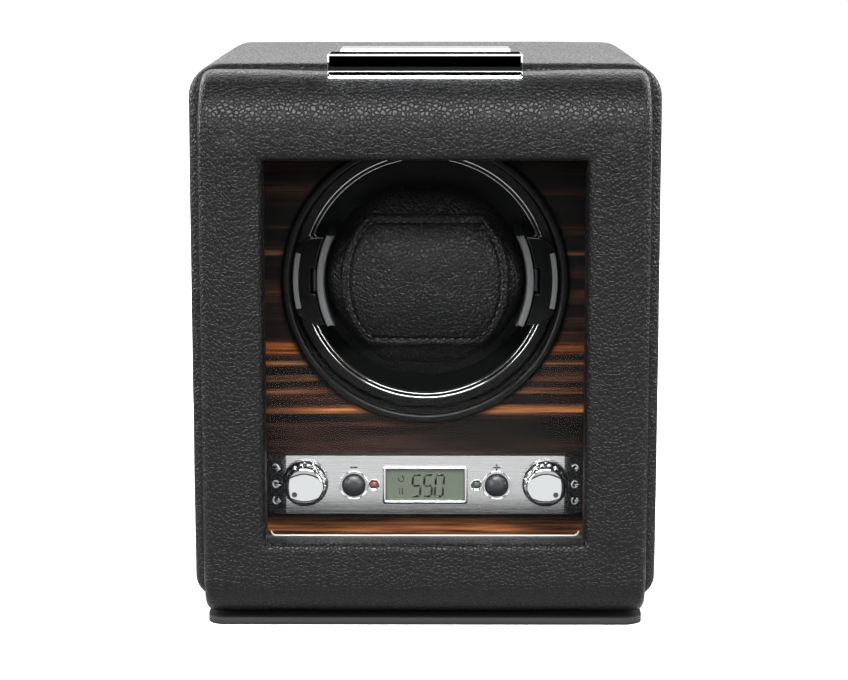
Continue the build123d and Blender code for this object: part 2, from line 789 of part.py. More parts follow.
def make_cuff():
    far = cuff_half_depth + cuff_skin
    around = rod(cuff_round_r, cuff_y - far, cuff_y + far)
    core = cuff_oval(-cuff_skin, cap_inner_r) & around
    pad = (cuff_oval(0, cap_inner_r) & around) - core
    nodes["cuff_core"] = core
    nodes["cuff_pad"] = pad
    nodes["cuff_patch"] = (cuff_oval(patch_thick, patch_width / 2) - cuff_oval(0, patch_width)) & patch_outline()

    cap_front = cuff_y - cap_depth / 2
    cap_back = cuff_y + cap_depth / 2
    caps = tube(cap_outer_r, cuff_round_r, cap_front, cap_back)
    height = cap_half_height
    wide = block(-far * 3, far * 3, cap_front, cap_back, drum_height - height, drum_height + height)
    reach = cap_outer_r + tongue_reach
    tongue_z = tongue_half_height
    tongues = block(-reach, reach, cap_front + 2, cap_back, drum_height - tongue_z, drum_height + tongue_z)
    caps = (caps & wide) + (tongues - rod(cap_outer_r - 1, cap_front, cap_back))
    nodes["cuff_caps"] = group([caps])


# --- the controls ----------------------------------------------------------------
def make_control_plate():
    half, flat = plate_width / 2, plate_flat_width / 2
    bow_x = (half + flat) / 2 + plate_bow
    bow_y = plate_y + plate_proud * 0.32
    bow = [
        Line((-half, fascia_y), (half, fascia_y)),
        ThreePointArc((half, fascia_y), (bow_x, bow_y), (flat, plate_y)),
        Line((flat, plate_y), (-flat, plate_y)),
        ThreePointArc((-flat, plate_y), (-bow_x, bow_y), (-half, fascia_y)),
    ]
    plate = extrude(Pos(0, 0, plate_foot) * make_face(bow), amount=plate_height)
    slope = plate_height * plate_slope
    for side in (-1, 1):
        corner = [
            (side * flat, plate_foot + plate_height),
            (side * half, plate_foot + plate_height - slope),
            (side * half, plate_foot + plate_height + 1),
            (side * flat, plate_foot + plate_height + 1),
        ]
        plate -= front_shape(corner, plate_y - 1, fascia_y)
    plate -= controls_opening(plate_y + plate_wall, fascia_y)
    for side in (-1, 1):
        plate -= rod(switch_shaft_r + run_gap, plate_y, fascia_y, side * knob_spacing / 2, knob_z)
        x = side * button_spacing / 2
        rim = rod(button_r + run_gap + rim_width, plate_y - rim_proud, plate_y, x, plate_z)
        plate += rim
        plate -= rod(button_r + run_gap, plate_y - rim_proud, fascia_y, x, plate_z)
        plate -= rod(lamp_r, plate_y, fascia_y, side * lamp_spacing / 2, plate_z)
    x, z = display_width / 2, display_height / 2
    window = block(-x, x, plate_y, fascia_y, plate_z - z, plate_z + z)
    nodes["control_plate"] = plate - window

    grow = display_frame
    frame = block(
        -x - grow,
        x + grow,
        plate_y - display_frame_proud,
        plate_y,
        plate_z - z - grow,
        plate_z + z + grow,
    )
    frame = fillet(edges_along(frame, Axis.Y), grow / 2)
    nodes["display_frame"] = frame - block(-x, x, plate_y - 1, plate_y, plate_z - z, plate_z + z)
    glass_front = plate_y + display_frame_proud / 2
    nodes["display_panel"] = block(-x, x, glass_front, glass_front + display_thick, plate_z - z, plate_z + z)


def make_circuit():
    y0, y1 = circuit_y, circuit_y + circuit_thick
    half, tall = board_width / 2, board_height / 2
    board = block(-half, half, y0, y1, plate_z - tall, plate_z + tall)
    tact_y = plate_y + plate_wall + 4
    switches, tacts = [], []
    for side in (-1, 1):
        x = side * knob_spacing / 2
        s = switch_size / 2
        switch = block(x - s, x + s, y0 - switch_depth, y0, knob_z - s, knob_z + s)
        bore_end = y0 - switch_depth + switch_bore
        bore = rod(switch_shaft_r + pin_clearance, y0 - switch_depth, bore_end, x, knob_z)
        switches.append(switch - bore)
        x = side * button_spacing / 2
        t = tact_size / 2
        tacts.append(block(x - t, x + t, tact_y, y0, plate_z - t, plate_z + t))
    across, up = half - board_screw_edge, tall - board_screw_edge
    places = [(x, plate_z + z) for x in (-across, across) for z in (-up, up)]
    screws = [screw_back(x, z, y1, circuit_thick + circuit_gap + fascia_board_thick - 1) for x, z in places]
    spacers = [tube(screw_head_r, screw_r, fascia_back_y, y0, x, z) for x, z in places]
    for screw in screws:
        board -= screw
        nodes["fascia_board"] -= screw
    nodes["circuit_board"] = board
    nodes["rotary_switches"] = group(switches)
    nodes["press_switches"] = group(tacts)
    nodes["module_screws"] = group([nodes["module_screws"]] + screws)
    nodes["board_spacers"] = group(spacers)
    lamp_places = [side * lamp_spacing / 2 for side in (-1, 1)]
    lamps = [rod(lamp_r, plate_y - 0.3, plate_y + plate_wall, x, plate_z) for x in lamp_places]
    nodes["lamps"] = group(lamps)


def make_knob(side):
    """A fluted skirt under a polished crown, on its switch shaft."""
    x = side * knob_spacing / 2
    base = plate_y - knob_lift
    knob = rod(knob_skirt_r, base - knob_skirt_height, base, x, knob_z)
    for n in range(knob_flutes):
        angle = 2 * math.pi * n / knob_flutes
        flute_x = x + knob_skirt_r * math.cos(angle)
        flute_z = knob_z + knob_skirt_r * math.sin(angle)
        knob -= rod(knob_flute_r, base - knob_skirt_height, base, flute_x, flute_z)
    crown = rod(knob_crown_r, base - knob_height, base - knob_skirt_height, x, knob_z)
    crown = fillet([e for e in crown.edges() if e.center().Y < base - knob_skirt_height - 1], 1.0)
    top = base - knob_height
    dimple = rod(dimple_r, top, top + dimple_depth, x + side * dimple_out, knob_z - dimple_down)
    shaft = rod(switch_shaft_r, base, circuit_y - switch_depth + switch_bore - run_gap, x, knob_z)
    return knob + crown - dimple + shaft


def make_button(side):
    x = side * button_spacing / 2
    cap = rod(button_r, plate_y - button_proud, plate_y + plate_wall - button_travel, x, plate_z)
    cap = fillet([e for e in cap.edges() if e.center().Y < plate_y], 0.8)
    stem_end = plate_y + plate_wall + 4 - button_travel - run_gap
    return cap + rod(button_stem_r, plate_y + plate_wall - button_travel, stem_end, x, plate_z)


def make_moving_controls():
    nodes["left_knob"] = make_knob(-1)
    nodes["right_knob"] = make_knob(1)
    nodes["minus_button"] = make_button(-1)
    nodes["plus_button"] = make_button(1)


def make_supply_lead():
    """The supply lead runs low from the inlet to the back of the circuit board."""
    start_y = back_leather_y - inlet_depth
    end_y = circuit_y + circuit_thick
    low = cavity_foot + arm_leaf_thick + 8
    route = [
        (inlet_x, start_y, inlet_z),
        (inlet_x, start_y - lead_entry, inlet_z),
        (inlet_x + lead_drift / 3, start_y - lead_entry - lead_fall, low),
        (inlet_x + lead_drift * 2 / 3, start_y - lead_entry - lead_fall * 2, low),
        (inlet_x + lead_drift, end_y + lead_exit, lead_height),
        (inlet_x + lead_drift, end_y, lead_height),
    ]
    points = [Vector(*p) for p in route]
    radii = []
    for a, b, c in zip(points, points[1:], points[2:]):
        turn = math.radians((b - a).get_angle(c - b))
        radii.append(0.45 * min((b - a).length, (c - b).length) / math.tan(turn / 2))
    path = FilletPolyline(*route, radius=radii)
    start = Plane(path @ 0, z_dir=path % 0)
    nodes["supply_lead"] = sweep(start * Circle(lead_r), path=path)


make_case()
make_back()
make_cover()
make_hinge_arms()
make_clasp()
make_fascia()
make_housing()
make_bracket_and_motor()
make_drive()
make_rotor()
make_cuff()
make_control_plate()
make_circuit()
make_moving_controls()
make_supply_lead()

for name, shape in nodes.items():
    export_step(shape, f"parts/{name}.step")
print(len(nodes), "nodes")
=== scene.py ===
import math

import bmesh
import bpy
from mathutils import Euler, Matrix, Vector, noise


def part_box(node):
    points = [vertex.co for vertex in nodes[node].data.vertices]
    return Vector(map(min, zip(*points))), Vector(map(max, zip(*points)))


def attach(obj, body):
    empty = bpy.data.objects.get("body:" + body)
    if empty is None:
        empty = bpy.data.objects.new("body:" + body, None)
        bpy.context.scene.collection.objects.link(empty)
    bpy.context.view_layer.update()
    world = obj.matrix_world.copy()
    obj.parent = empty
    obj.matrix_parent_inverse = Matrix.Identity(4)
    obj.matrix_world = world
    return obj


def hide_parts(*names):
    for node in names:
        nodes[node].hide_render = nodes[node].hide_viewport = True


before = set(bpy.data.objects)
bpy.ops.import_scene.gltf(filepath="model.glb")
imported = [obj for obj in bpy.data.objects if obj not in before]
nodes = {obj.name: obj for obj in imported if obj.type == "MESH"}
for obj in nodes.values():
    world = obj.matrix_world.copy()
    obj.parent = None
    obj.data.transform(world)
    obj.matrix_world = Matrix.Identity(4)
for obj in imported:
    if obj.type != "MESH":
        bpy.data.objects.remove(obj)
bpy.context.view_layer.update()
boxes = {}
mm = 0.001


def toLinear(code):
    channels = [int(code[i:i + 2], 16) / 255 for i in (1, 3, 5)]
    return tuple(c / 12.92 if c <= 0.04045 else ((c + 0.055) / 1.055) ** 2.4 for c in channels) + (1.0,)


# settings given in millimetres
def lengths(**sizes):
    return {name: size * mm for name, size in sizes.items()}


# where a CAD node is, measured once
def boxOf(name):
    if name not in boxes:
        boxes[name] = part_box(name)
    return boxes[name]


# the middle of a CAD node, brought to another depth
def spotOver(name, y):
    low, high = boxOf(name)
    return Vector(((low.x + high.x) / 2, y, (low.z + high.z) / 2))


def smooth(x, low, high):
    t = min(max((x - low) / (high - low), 0.0), 1.0)
    return t * t * (3 - 2 * t)


# one place adds every shader node: settings are its properties or its sockets, links its inputs
def addNode(tree, kind, settings=None, links=None):
    node = tree.nodes.new("ShaderNode" + kind)
    for key, value in (settings or {}).items():
        if key == "stops":
            ramp = node.color_ramp
            while len(ramp.elements) < len(value):
                ramp.elements.new(0.5)
            for element, (place, code) in zip(ramp.elements, value):
                element.position = place
                element.color = toLinear(code)
            continue
        if isinstance(value, str) and value.startswith("#"):
            value = toLinear(value)
        if isinstance(key, str) and hasattr(node, key):
            setattr(node, key, value)
        else:
            node.inputs[key].default_value = value
    for key, source in (links or {}).items():
        tree.links.new(source, node.inputs[key])
    return node


def startMaterial(name, sockets):
    material = bpy.data.materials.new(name)
    material.use_nodes = True
    tree = material.node_tree
    tree.nodes.clear()
    shader = addNode(tree, "BsdfPrincipled", sockets)
    addNode(tree, "OutputMaterial", None, {"Surface": shader.outputs[0]})
    place = addNode(tree, "TexCoord").outputs["Object"]
    return material, tree, shader, place


def stretched(tree, place, x, y, z):
    return addNode(tree, "Mapping", {"Scale": (x, y, z)}, {"Vector": place}).outputs[0]


def noiseAt(tree, place, scale, detail, roughness=0.5, output=0):
    settings = {"Scale": scale, "Detail": detail, "Roughness": roughness}
    return addNode(tree, "TexNoise", settings, {"Vector": place}).outputs[output]


def remapped(tree, value, fromLow=0.0, fromHigh=1.0, toLow=0.0, toHigh=1.0, kind="LINEAR"):
    ends = {"From Min": fromLow, "From Max": fromHigh, "To Min": toLow, "To Max": toHigh}
    return addNode(tree, "MapRange", {"interpolation_type": kind, **ends}, {"Value": value}).outputs[0]


def multiplyAdd(tree, value, factor, extra):
    settings, links = {"operation": "MULTIPLY_ADD", 1: factor}, {0: value}
    (settings if isinstance(extra, float) else links)[2] = extra
    return addNode(tree, "Math", settings, links).outputs[0]


def darker(code, share):
    return tuple(c * share for c in toLinear(code)[:3]) + (1.0,)


# the colour wanders between two tones
def giveTone(tree, shader, low, high, share):
    tone = addNode(tree, "Mix", {"data_type": "RGBA", 6: low, 7: high}, {0: share})
    tree.links.new(tone.outputs[2], shader.inputs["Base Color"])


def giveRelief(tree, shader, height, depth, strength=1.0):
    bump = addNode(tree, "Bump", {"Distance": depth, "Strength": strength}, {"Height": height})
    tree.links.new(bump.outputs[0], shader.inputs["Normal"])


# sizes in the settings below are lengths unless their names say otherwise
# each crease colour is a painted shade for the leather's creases
caseLeather = {
    **lengths(pebble=1.45, relief=0.18, pores=0.3),
    "colour": "#0d0d0e", "creaseAndShade": "#030303", "smoothness": 0.34, "gloss": 0.19,
}
cuffLeather = {
    **lengths(pebble=1.4, relief=0.2, pores=0.26),
    "colour": "#0b0b0c", "creaseAndShade": "#020202", "smoothness": 0.34, "gloss": 0.24,
}


# full-grain calf, tumbled: pebbles with creases between them, painted shade making the creases darker, and
# a waxy half gloss on their tops
def tumbledLeather(name, look):
    material, tree, shader, place = startMaterial(name, {
        "IOR": 1.5, "Specular IOR Level": look["gloss"],
        # the brown sheen tint is a painted warm reflection on the leather's grazing edges
        "Sheen Weight": 0.02, "Sheen Roughness": 0.4, "Sheen Tint": "#8c7a70",
    })
    wander = noiseAt(tree, place, 0.4 / look["pebble"], 2.0, output="Color")
    pull = look["pebble"] * 0.9
    moved = addNode(tree, "VectorMath", {"operation": "MULTIPLY_ADD", 1: (pull, pull, pull)},
                    {0: wander, 2: place}).outputs[0]
    edges, domes = (
        addNode(tree, "TexVoronoi", {"feature": kind, "Scale": 1 / look["pebble"]}, {"Vector": moved})
        for kind in ("DISTANCE_TO_EDGE", "F1")
    )
    creaseAndShade = remapped(tree, edges.outputs["Distance"], fromHigh=0.2, kind="SMOOTHSTEP")
    pores = noiseAt(tree, place, 1 / look["pores"], 3.0)
    hill = multiplyAdd(tree, domes.outputs["Distance"], -0.55, 0.6)
    body = multiplyAdd(tree, creaseAndShade, 0.75, hill)
    giveRelief(tree, shader, multiplyAdd(tree, pores, 0.14, body), look["relief"])
    # painted shade: the creases get a darker colour than the pebble tops
    giveTone(tree, shader, look["creaseAndShade"], look["colour"], creaseAndShade)
    dull = remapped(tree, creaseAndShade, toLow=look["smoothness"] + 0.2, toHigh=look["smoothness"])
    tree.links.new(dull, shader.inputs["Roughness"])
    return material


# quilting pressed into the cuff's sides: small diamonds
def quiltedLeather(name, look, diamond=3.6 * mm):
    material = tumbledLeather(name, look)
    tree = material.node_tree
    shader, coordinates, grain = (
        next(n for n in tree.nodes if n.type == kind) for kind in ("BSDF_PRINCIPLED", "TEX_COORD", "BUMP")
    )
    turned = addNode(tree, "Mapping", {"Rotation": (0, math.radians(45), 0)},
                     {"Vector": coordinates.outputs["Object"]})
    axes = addNode(tree, "SeparateXYZ", None, {0: turned.outputs[0]})
    lines = []
    for axis in (0, 2):
        wave = addNode(tree, "Math", {"operation": "PINGPONG", 1: diamond / 2}, {0: axes.outputs[axis]})
        lines.append(remapped(tree, wave.outputs[0], fromHigh=diamond * 0.12))
    both = addNode(tree, "Math", {"operation": "MINIMUM"}, dict(enumerate(lines)))
    quilt = addNode(tree, "Bump", {"Distance": 0.16 * mm},
                    {"Height": both.outputs[0], "Normal": grain.outputs[0]})
    tree.links.new(quilt.outputs[0], shader.inputs["Normal"])
    return material


ebony = {
    "ground": "#0a0706", "mid": "#35211a",
    # height of each streak above the table, its width, and its colour
    "streaks": [
        (25.6, 5.6, "#8e5733"), (55.3, 5.0, "#241711"), (66.0, 2.6, "#a0663f"), (72.5, 2.0, "#6b432e"),
        (76.6, 1.8, "#63402c"), (81.6, 1.5, "#7a4f30"), (87.4, 4.6, "#7c4522"), (105.6, 3.0, "#6e4129"),
        (119.2, 1.6, "#6a412c"), (127.7, 1.4, "#47301f"),
    ],
    "waver": 1.4 * mm, "fibre": 0.85 * mm, "fibreLength": 34 * mm,
}


# sliced Macassar ebony under lacquer: near-black ground, brown streaks across it, fine fibres along them
def slicedEbony(name, look):
    material, tree, shader, place = startMaterial(name, {
        "Roughness": 0.5, "IOR": 1.5, "Specular IOR Level": 0.09,
    })
    low, high = (corner.z for corner in boxOf("fascia_veneer"))
    waver = noiseAt(tree, stretched(tree, place, 14, 14, 110), 1.0, 4.0)
    axes = addNode(tree, "SeparateXYZ", None, {0: place})
    shift = multiplyAdd(tree, waver, look["waver"] * 2, axes.outputs[2])
    level = remapped(tree, shift, low + look["waver"], high + look["waver"])
    stops = [(0.0, look["ground"])]
    for centre, width, code in look["streaks"]:
        middle, half = (centre * mm - low) / (high - low), width * mm / 2 / (high - low)
        stops += [(middle - half * 1.25, look["ground"]), (middle - half * 0.5, code)]
        stops += [(middle + half * 1.25, look["ground"])]
    bands = addNode(tree, "ValToRGB", {"stops": stops}, {0: level})
    fibreMap = stretched(tree, place, 1 / look["fibreLength"], 1, 1 / look["fibre"])
    fibre = noiseAt(tree, fibreMap, 1.0, 5.0, 0.6)
    # the streaks come and go along their length, and fainter broad ones show between them
    along = noiseAt(tree, stretched(tree, place, 16, 1, 130), 1.0, 3.0)
    strength = remapped(tree, along, 0.36, 0.56, 0.25)
    streaks = addNode(tree, "Mix", {"data_type": "RGBA", 6: look["ground"]},
                      {0: strength, 7: bands.outputs[0]})
    broad = noiseAt(tree, stretched(tree, place, 9, 1, 260), 1.0, 3.0)
    lift = remapped(tree, broad, 0.5, 0.68, 0.0, 0.8)
    ground = addNode(tree, "Mix", {"data_type": "RGBA", "blend_type": "LIGHTEN", 7: look["mid"]},
                     {0: lift, 6: streaks.outputs[2]})
    shade = remapped(tree, fibre, 0.36, 0.64, 0.2, 1.75)
    tone = addNode(tree, "VectorMath", {"operation": "SCALE"}, {0: ground.outputs[2], "Scale": shade})
    tree.links.new(tone.outputs[0], shader.inputs["Base Color"])
    giveRelief(tree, shader, fibre, 0.02 * mm)
    return material


# chromed zinc casting: a bright mirror, with the faint waves that polishing leaves
def polishedChrome(name):
    material, tree, shader, place = startMaterial(name, {
        "Base Color": "#d9dbdd", "Metallic": 1.0, "Roughness": 0.05,
    })
    ripple = noiseAt(tree, place, 1 / (4 * mm), 1.0)
    giveRelief(tree, shader, ripple, 0.012 * mm)
    return material


# brushed metal: hair-fine scratches along its length, which smear the highlights across it
def brushedSteel(name, code, length, scratch, roughness):
    material, tree, shader, place = startMaterial(name, {"Metallic": 1.0})
    hairMap = stretched(tree, place, 1 / length, 1 / scratch, 1 / scratch)
    hairs = noiseAt(tree, hairMap, 1.0, 4.0, 0.7)
    giveRelief(tree, shader, hairs, 0.008 * mm)
    dull = remapped(tree, hairs, 0.3, 0.7, roughness - 0.06, roughness + 0.08)
    tree.links.new(dull, shader.inputs["Roughness"])
    giveTone(tree, shader, "#bcbdbe", code, hairs)
    return material


# moulded plastics and paints: a base colour, a gloss, and a grain as fine as the mould's
def mouldedPlastic(name, code, roughness, grain, depth, sockets=None):
    material, tree, shader, place = startMaterial(name, {"IOR": 1.53, **(sockets or {})})
    speckle = noiseAt(tree, place, 1 / (grain * mm), 3.0)
    giveRelief(tree, shader, speckle, depth * mm)
    dull = remapped(tree, speckle, toLow=max(roughness - 0.06, 0.02), toHigh=roughness + 0.06)
    tree.links.new(dull, shader.inputs["Roughness"])
    giveTone(tree, shader, darker(code, 0.8), code, speckle)
    return material


# wood-fibre board: pale brown fibres pressed flat, matt
def pressedFibreboard(name):
    material, tree, shader, place = startMaterial(name, {"Roughness": 0.85, "IOR": 1.5})
    flat, upright = 1 / (1.2 * mm), 1 / (0.5 * mm)
    fibres = noiseAt(tree, stretched(tree, place, flat, flat, upright), 1.0, 5.0)
    stops = [(0.25, "#8a6a45"), (0.75, "#b8946a")]
    tone = addNode(tree, "ValToRGB", {"stops": stops}, {0: fibres})
    tree.links.new(tone.outputs[0], shader.inputs["Base Color"])
    giveRelief(tree, shader, fibres, 0.06 * mm)
    return material


# flocked cloth: no gloss, a nap of short fibres that catches the light at its edges
def flockedCloth(name):
    material, tree, shader, place = startMaterial(name, {
        "Roughness": 0.95, "IOR": 1.45, "Sheen Weight": 0.25, "Sheen Roughness": 0.5,
    })
    nap = noiseAt(tree, place, 1 / (0.4 * mm), 4.0)
    giveTone(tree, shader, darker("#0c0c0c", 0.5), "#0c0c0c", nap)
    giveRelief(tree, shader, nap, 0.15 * mm)
    return material


# float glass: clear, seen mostly by its reflections
def clearGlass(name):
    material, tree, shader, place = startMaterial(name, {
        "Base Color": "#0b0d0d", "IOR": 1.52, "Alpha": 0.05,
    })
    film = noiseAt(tree, place, 1 / (30 * mm), 2.0)
    dull = remapped(tree, film, toLow=0.01, toHigh=0.05)
    tree.links.new(dull, shader.inputs["Roughness"])
    return material


print("materials")
leather = tumbledLeather("tumbledLeather", caseLeather)
patchLeather = tumbledLeather("cuffLeather", cuffLeather)
sideLeather = quiltedLeather("quiltedLeather", cuffLeather)
veneer = slicedEbony("slicedEbony", ebony)
chrome = polishedChrome("polishedChrome")
brushed = brushedSteel("brushedSteel", "#d8d8d8", 30 * mm, 0.16 * mm, 0.24)
zincSteel = brushedSteel("zincSteel", "#b9bbbd", 8 * mm, 0.3 * mm, 0.36)
bronze = brushedSteel("sinteredBronze", "#b08a50", 3 * mm, 0.4 * mm, 0.45)
fibreboard = pressedFibreboard("pressedFibreboard")
flock = flockedCloth("flockedCloth")
glass = clearGlass("floatGlass")
# colour, roughness, grain and its depth in mm, other sockets
plastics = {
    "glossAbs": ("#060606", 0.14, 6, 0.01, {"Specular IOR Level": 0.25}),  # a deep black gloss
    "cupAbs": ("#050505", 0.3, 3, 0.004, {"Specular IOR Level": 0.25}),  # black, no sharp reflection
    "bezelAbs": ("#040404", 0.34, 4, 0.004, {"Specular IOR Level": 0.15}),  # black with a soft bright edge
    "satinAbs": ("#171718", 0.42, 0.5, 0.02),  # a fine spark-eroded grain
    "buttonAbs": ("#26282b", 0.32, 0.6, 0.015),  # dark grey domes with one soft highlight
    "greyRubber": ("#505153", 0.62, 0.5, 0.09),  # a pale speckled grip
    "blackRubber": ("#161616", 0.7, 0.4, 0.04),  # dull black
    "needleHoleShade": ("#020202", 0.9, 0.2, 0.02),  # painted shade: dark domes standing in for the shaded needle holes in the leather
    "waxedThread": ("#161617", 0.5, 0.2, 0.05),  # a dark stitch with a dull shine
    "lacqueredFoot": ("#050505", 0.6, 0.5, 0.03),  # a black line along the floor
    "paneEdgeHighlight": ("#c9cfca", 0.06, 5, 0.01, {"Alpha": 0.6}),  # painted highlight: a pale colour for the bright line of the ground glass edge
    "solderMask": ("#0f4a26", 0.3, 2, 0.02),  # circuit-board green
    "displayGrey": ("#545d50", 0.22, 10, 0.002),  # the grey-green of a liquid crystal panel
    "displayInk": ("#171b17", 0.3, 2, 0.002),  # its dark segments
    "markEnamel": ("#c6cacd", 0.4, 0.4, 0.01),  # pale filled signs
    "engravedFill": ("#3a3b3d", 0.3, 0.4, 0.01),  # dark filled signs
    "redLens": ("#6a3c3a", 0.08, 3, 0.01),  # a clear red lamp, unlit
    "greenLens": ("#3b4a40", 0.08, 3, 0.01),  # a clear green lamp, unlit
}
plastic = {name: mouldedPlastic(name, *spec) for name, spec in plastics.items()}

cadFinishes = (
    (leather, "case_leather cover_leather back_leather"),
    (fibreboard, "side_boards top_board bottom_board back_board corner_blocks fascia_board fascia_battens"),
    (flock, "cover_frame front_liner glass_retainer"),
    (veneer, "fascia_veneer"),
    (glass, "window_glass"),
    (chrome, "clasp_flap clasp_base clasp_keeper display_frame"),
    (brushed, "control_plate"),
    (bronze, "shaft_bush"),
    (zincSteel, "clasp_pin clasp_magnet clasp_screws back_screws hinge_arms hinge_pins hinge_screws"
                " module_screws rotor_shaft motor_shaft motor_bracket gear_motor inlet_nut"),
    (plastic["lacqueredFoot"], "base_board"),
    (plastic["displayGrey"], "display_panel"),
    (plastic["bezelAbs"], "drum_bezel"),
    (plastic["cupAbs"], "rotor_cup"),
    (plastic["glossAbs"], "rotor_arms drum_housing"),
    (plastic["satinAbs"], "cuff_caps rotor_pulley motor_pulley rotary_switches press_switches board_spacers"
                          " power_inlet"),
    (plastic["solderMask"], "circuit_board"),
    (plastic["blackRubber"], "drive_belt supply_lead motor_leads"),
)
for finish, names in cadFinishes:
    for nodeName in names.split():
        for entry in nodes[nodeName].material_slots:
            entry.material = finish


# mesh helpers
def newObject(name, data):
    obj = bpy.data.objects.new(name, data)
    bpy.context.scene.collection.objects.link(obj)
    return obj


def makePiece(name, bm, material, body, replaced=(), keepNormals=False):
    if not keepNormals:
        bmesh.ops.recalc_face_normals(bm, faces=bm.faces)
    mesh = bpy.data.meshes.new(name)
    bm.to_mesh(mesh)
    bm.free()
    mesh.materials.append(material)
    mesh.shade_smooth()
    obj = newObject(name, mesh)
    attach(obj, body)
    if replaced:
        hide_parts(*replaced)
    return obj


def skin(bm, rings, closed=True, caps=()):
    grid = [[bm.verts.new(p) for p in ring] for ring in rings]
    count = len(grid[0])
    for a, b in zip(grid, grid[1:]):
        for i in range(count if closed else count - 1):
            j = (i + 1) % count
            bm.faces.new((a[i], a[j], b[j], b[i]))
    for end in caps:
        bm.faces.new(grid[end])


def stations(breaks, step):
    out = []
    for a, b in zip(breaks, breaks[1:]):
        count = max(1, math.ceil((b - a) / step - 1e-6))
        out += [a + (b - a) * k / count for k in range(count)]
    return out + [breaks[-1]]


def quarter(count):
    return [math.pi / 2 * k / count for k in range(count + 1)]


def addModifier(obj, kind, settings):
    modifier = obj.modifiers.new(kind.lower(), kind)
    for key, value in settings.items():
        setattr(modifier, key, value)
    return modifier


# rounded edges on the crisp metal and plastic parts, in mm
edgeRounding = {
    "control_plate": 0.45, "clasp_flap": 0.25, "clasp_base": 0.25, "display_frame": 0.3,
    "rotor_arms": 0.4, "cuff_caps": 0.5,
}
for nodeName, width in edgeRounding.items():
    addModifier(nodes[nodeName], "WELD", {"merge_threshold": 0.002 * mm})
    addModifier(nodes[nodeName], "BEVEL", {
        "width": width * mm, "segments": 3, "limit_method": "ANGLE", "angle_limit": math.radians(40),
    })


def turnedRings(profile, count, centre, lobes=0, lobeDepth=0.0):
    # profile: (radius, distance in front of the centre, share of the lobes)
    rings = []
    for radius, out, share in profile:
        ring = []
        for i in range(count):
            angle = 2 * math.pi * i / count
            r = radius - share * lobeDepth * (0.5 + 0.5 * math.cos(lobes * angle)) ** 2
            ring.append(centre + Vector((r * math.cos(angle), -out, r * math.sin(angle))))
        rings.append(ring)
    return rings


def domeRings(radius, rise, base, centre, count=40):
    profile = [(radius, -base, 0), (radius, 0.0, 0)]
    profile += [(radius * math.cos(a), rise * math.sin(a), 0) for a in quarter(8)[1:8]]
    return turnedRings(profile + [(radius * 0.02, rise, 0)], count, centre)


# the leather of the case
print("case leather")
caseShell = lengths(
    topRadius=11, footRadius=8, rim=4, wall=9.6, lip=2.5, pillow=0.8, topPillow=0.5, ripple=0.12,
    thick=1.2,
)


def caseRing(look, inset, arcSteps=10, sideSteps=26):
    # the case's outline seen from the front: place, outward direction, and how full the leather is
    low, high = boxOf("case_leather")
    corners = []
    for sx, sz in ((1, 1), (-1, 1), (-1, -1), (1, -1)):
        radius = max(look["topRadius" if sz > 0 else "footRadius"] - inset, 0.4 * mm)
        middleZ = high.z - inset - radius if sz > 0 else low.z + inset + radius
        corners.append((sx * (high.x - inset - radius), middleZ, radius))
    points = []
    for index, (cx, cz, radius) in enumerate(corners):
        for step in range(arcSteps + 1):
            angle = math.pi / 2 * (index + step / arcSteps)
            nx, nz = math.cos(angle), math.sin(angle)
            points.append((cx + radius * nx, cz + radius * nz, nx, nz, 0.0))
        # a straight side on to the next corner
        px, pz = points[-1][:2]
        nextX, nextZ, nextR = corners[(index + 1) % 4]
        ex, ez = nextX + nextR * nx, nextZ + nextR * nz
        for step in range(1, sideSteps):
            t = step / sideSteps
            points.append((px + (ex - px) * t, pz + (ez - pz) * t, nx, nz, 1 - (2 * t - 1) ** 4))
    return points


def makeCaseShell(look):
    low, high = boxOf("case_leather")
    front, back, rim = low.y, high.y, look["rim"]
    plan = [(front + look["lip"], look["wall"]), (front, look["wall"])]
    plan += [(front + rim * (1 - math.sin(a)), rim * (1 - math.cos(a)))
             for a in reversed(quarter(8)[1:])]
    sides = stations([front + rim, back - rim], 6 * mm)
    plan += [(y, 0.0) for y in sides]
    plan += [(back - rim * (1 - math.sin(a)), rim * (1 - math.cos(a)))
             for a in quarter(8)[1:]]
    plan += [(back, look["wall"]), (back - look["lip"], look["wall"])]
    rings = []
    for y, inset in plan:
        along = 1 - abs(2 * (y - front) / (back - front) - 1) ** 4
        ring = []
        for x, z, nx, nz, weight in caseRing(look, inset):
            under = nz < -0.5
            pillow = 0 if under else look["topPillow" if nz > 0.5 else "pillow"]
            uneven = noise.noise(Vector((x, y, z)) / (24 * mm)) * look["ripple"]
            push = pillow * weight * along + uneven * (inset < rim)
            ring.append(Vector((x + nx * push, y, z + nz * (max(push, 0) if under else push))))
        rings.append(ring)
    bm = bmesh.new()
    skin(bm, rings)
    piece = makePiece("caseShell", bm, leather, "case", ["case_leather"])
    addModifier(piece, "SOLIDIFY", {"thickness": look["thick"], "offset": -1.0})


makeCaseShell(caseShell)

# the leather of the cover
print("cover leather")
coverShell = lengths(
    roll=20, rear=2, side=3, lip=2.6, pillow=1.0, sidePillow=0.4, dip=0.7, dipHalf=60, ripple=0.1,
    thick=1.2, step=3, pocketHalf=59.9, pocketFoot=23.6, pocketHead=168.4, slotAt=45, slotHalf=6.5,
    slotRise=5.5, windowDepth=9.4, flatFoot=8, glassTall=133.8, glassLap=4.5,
)


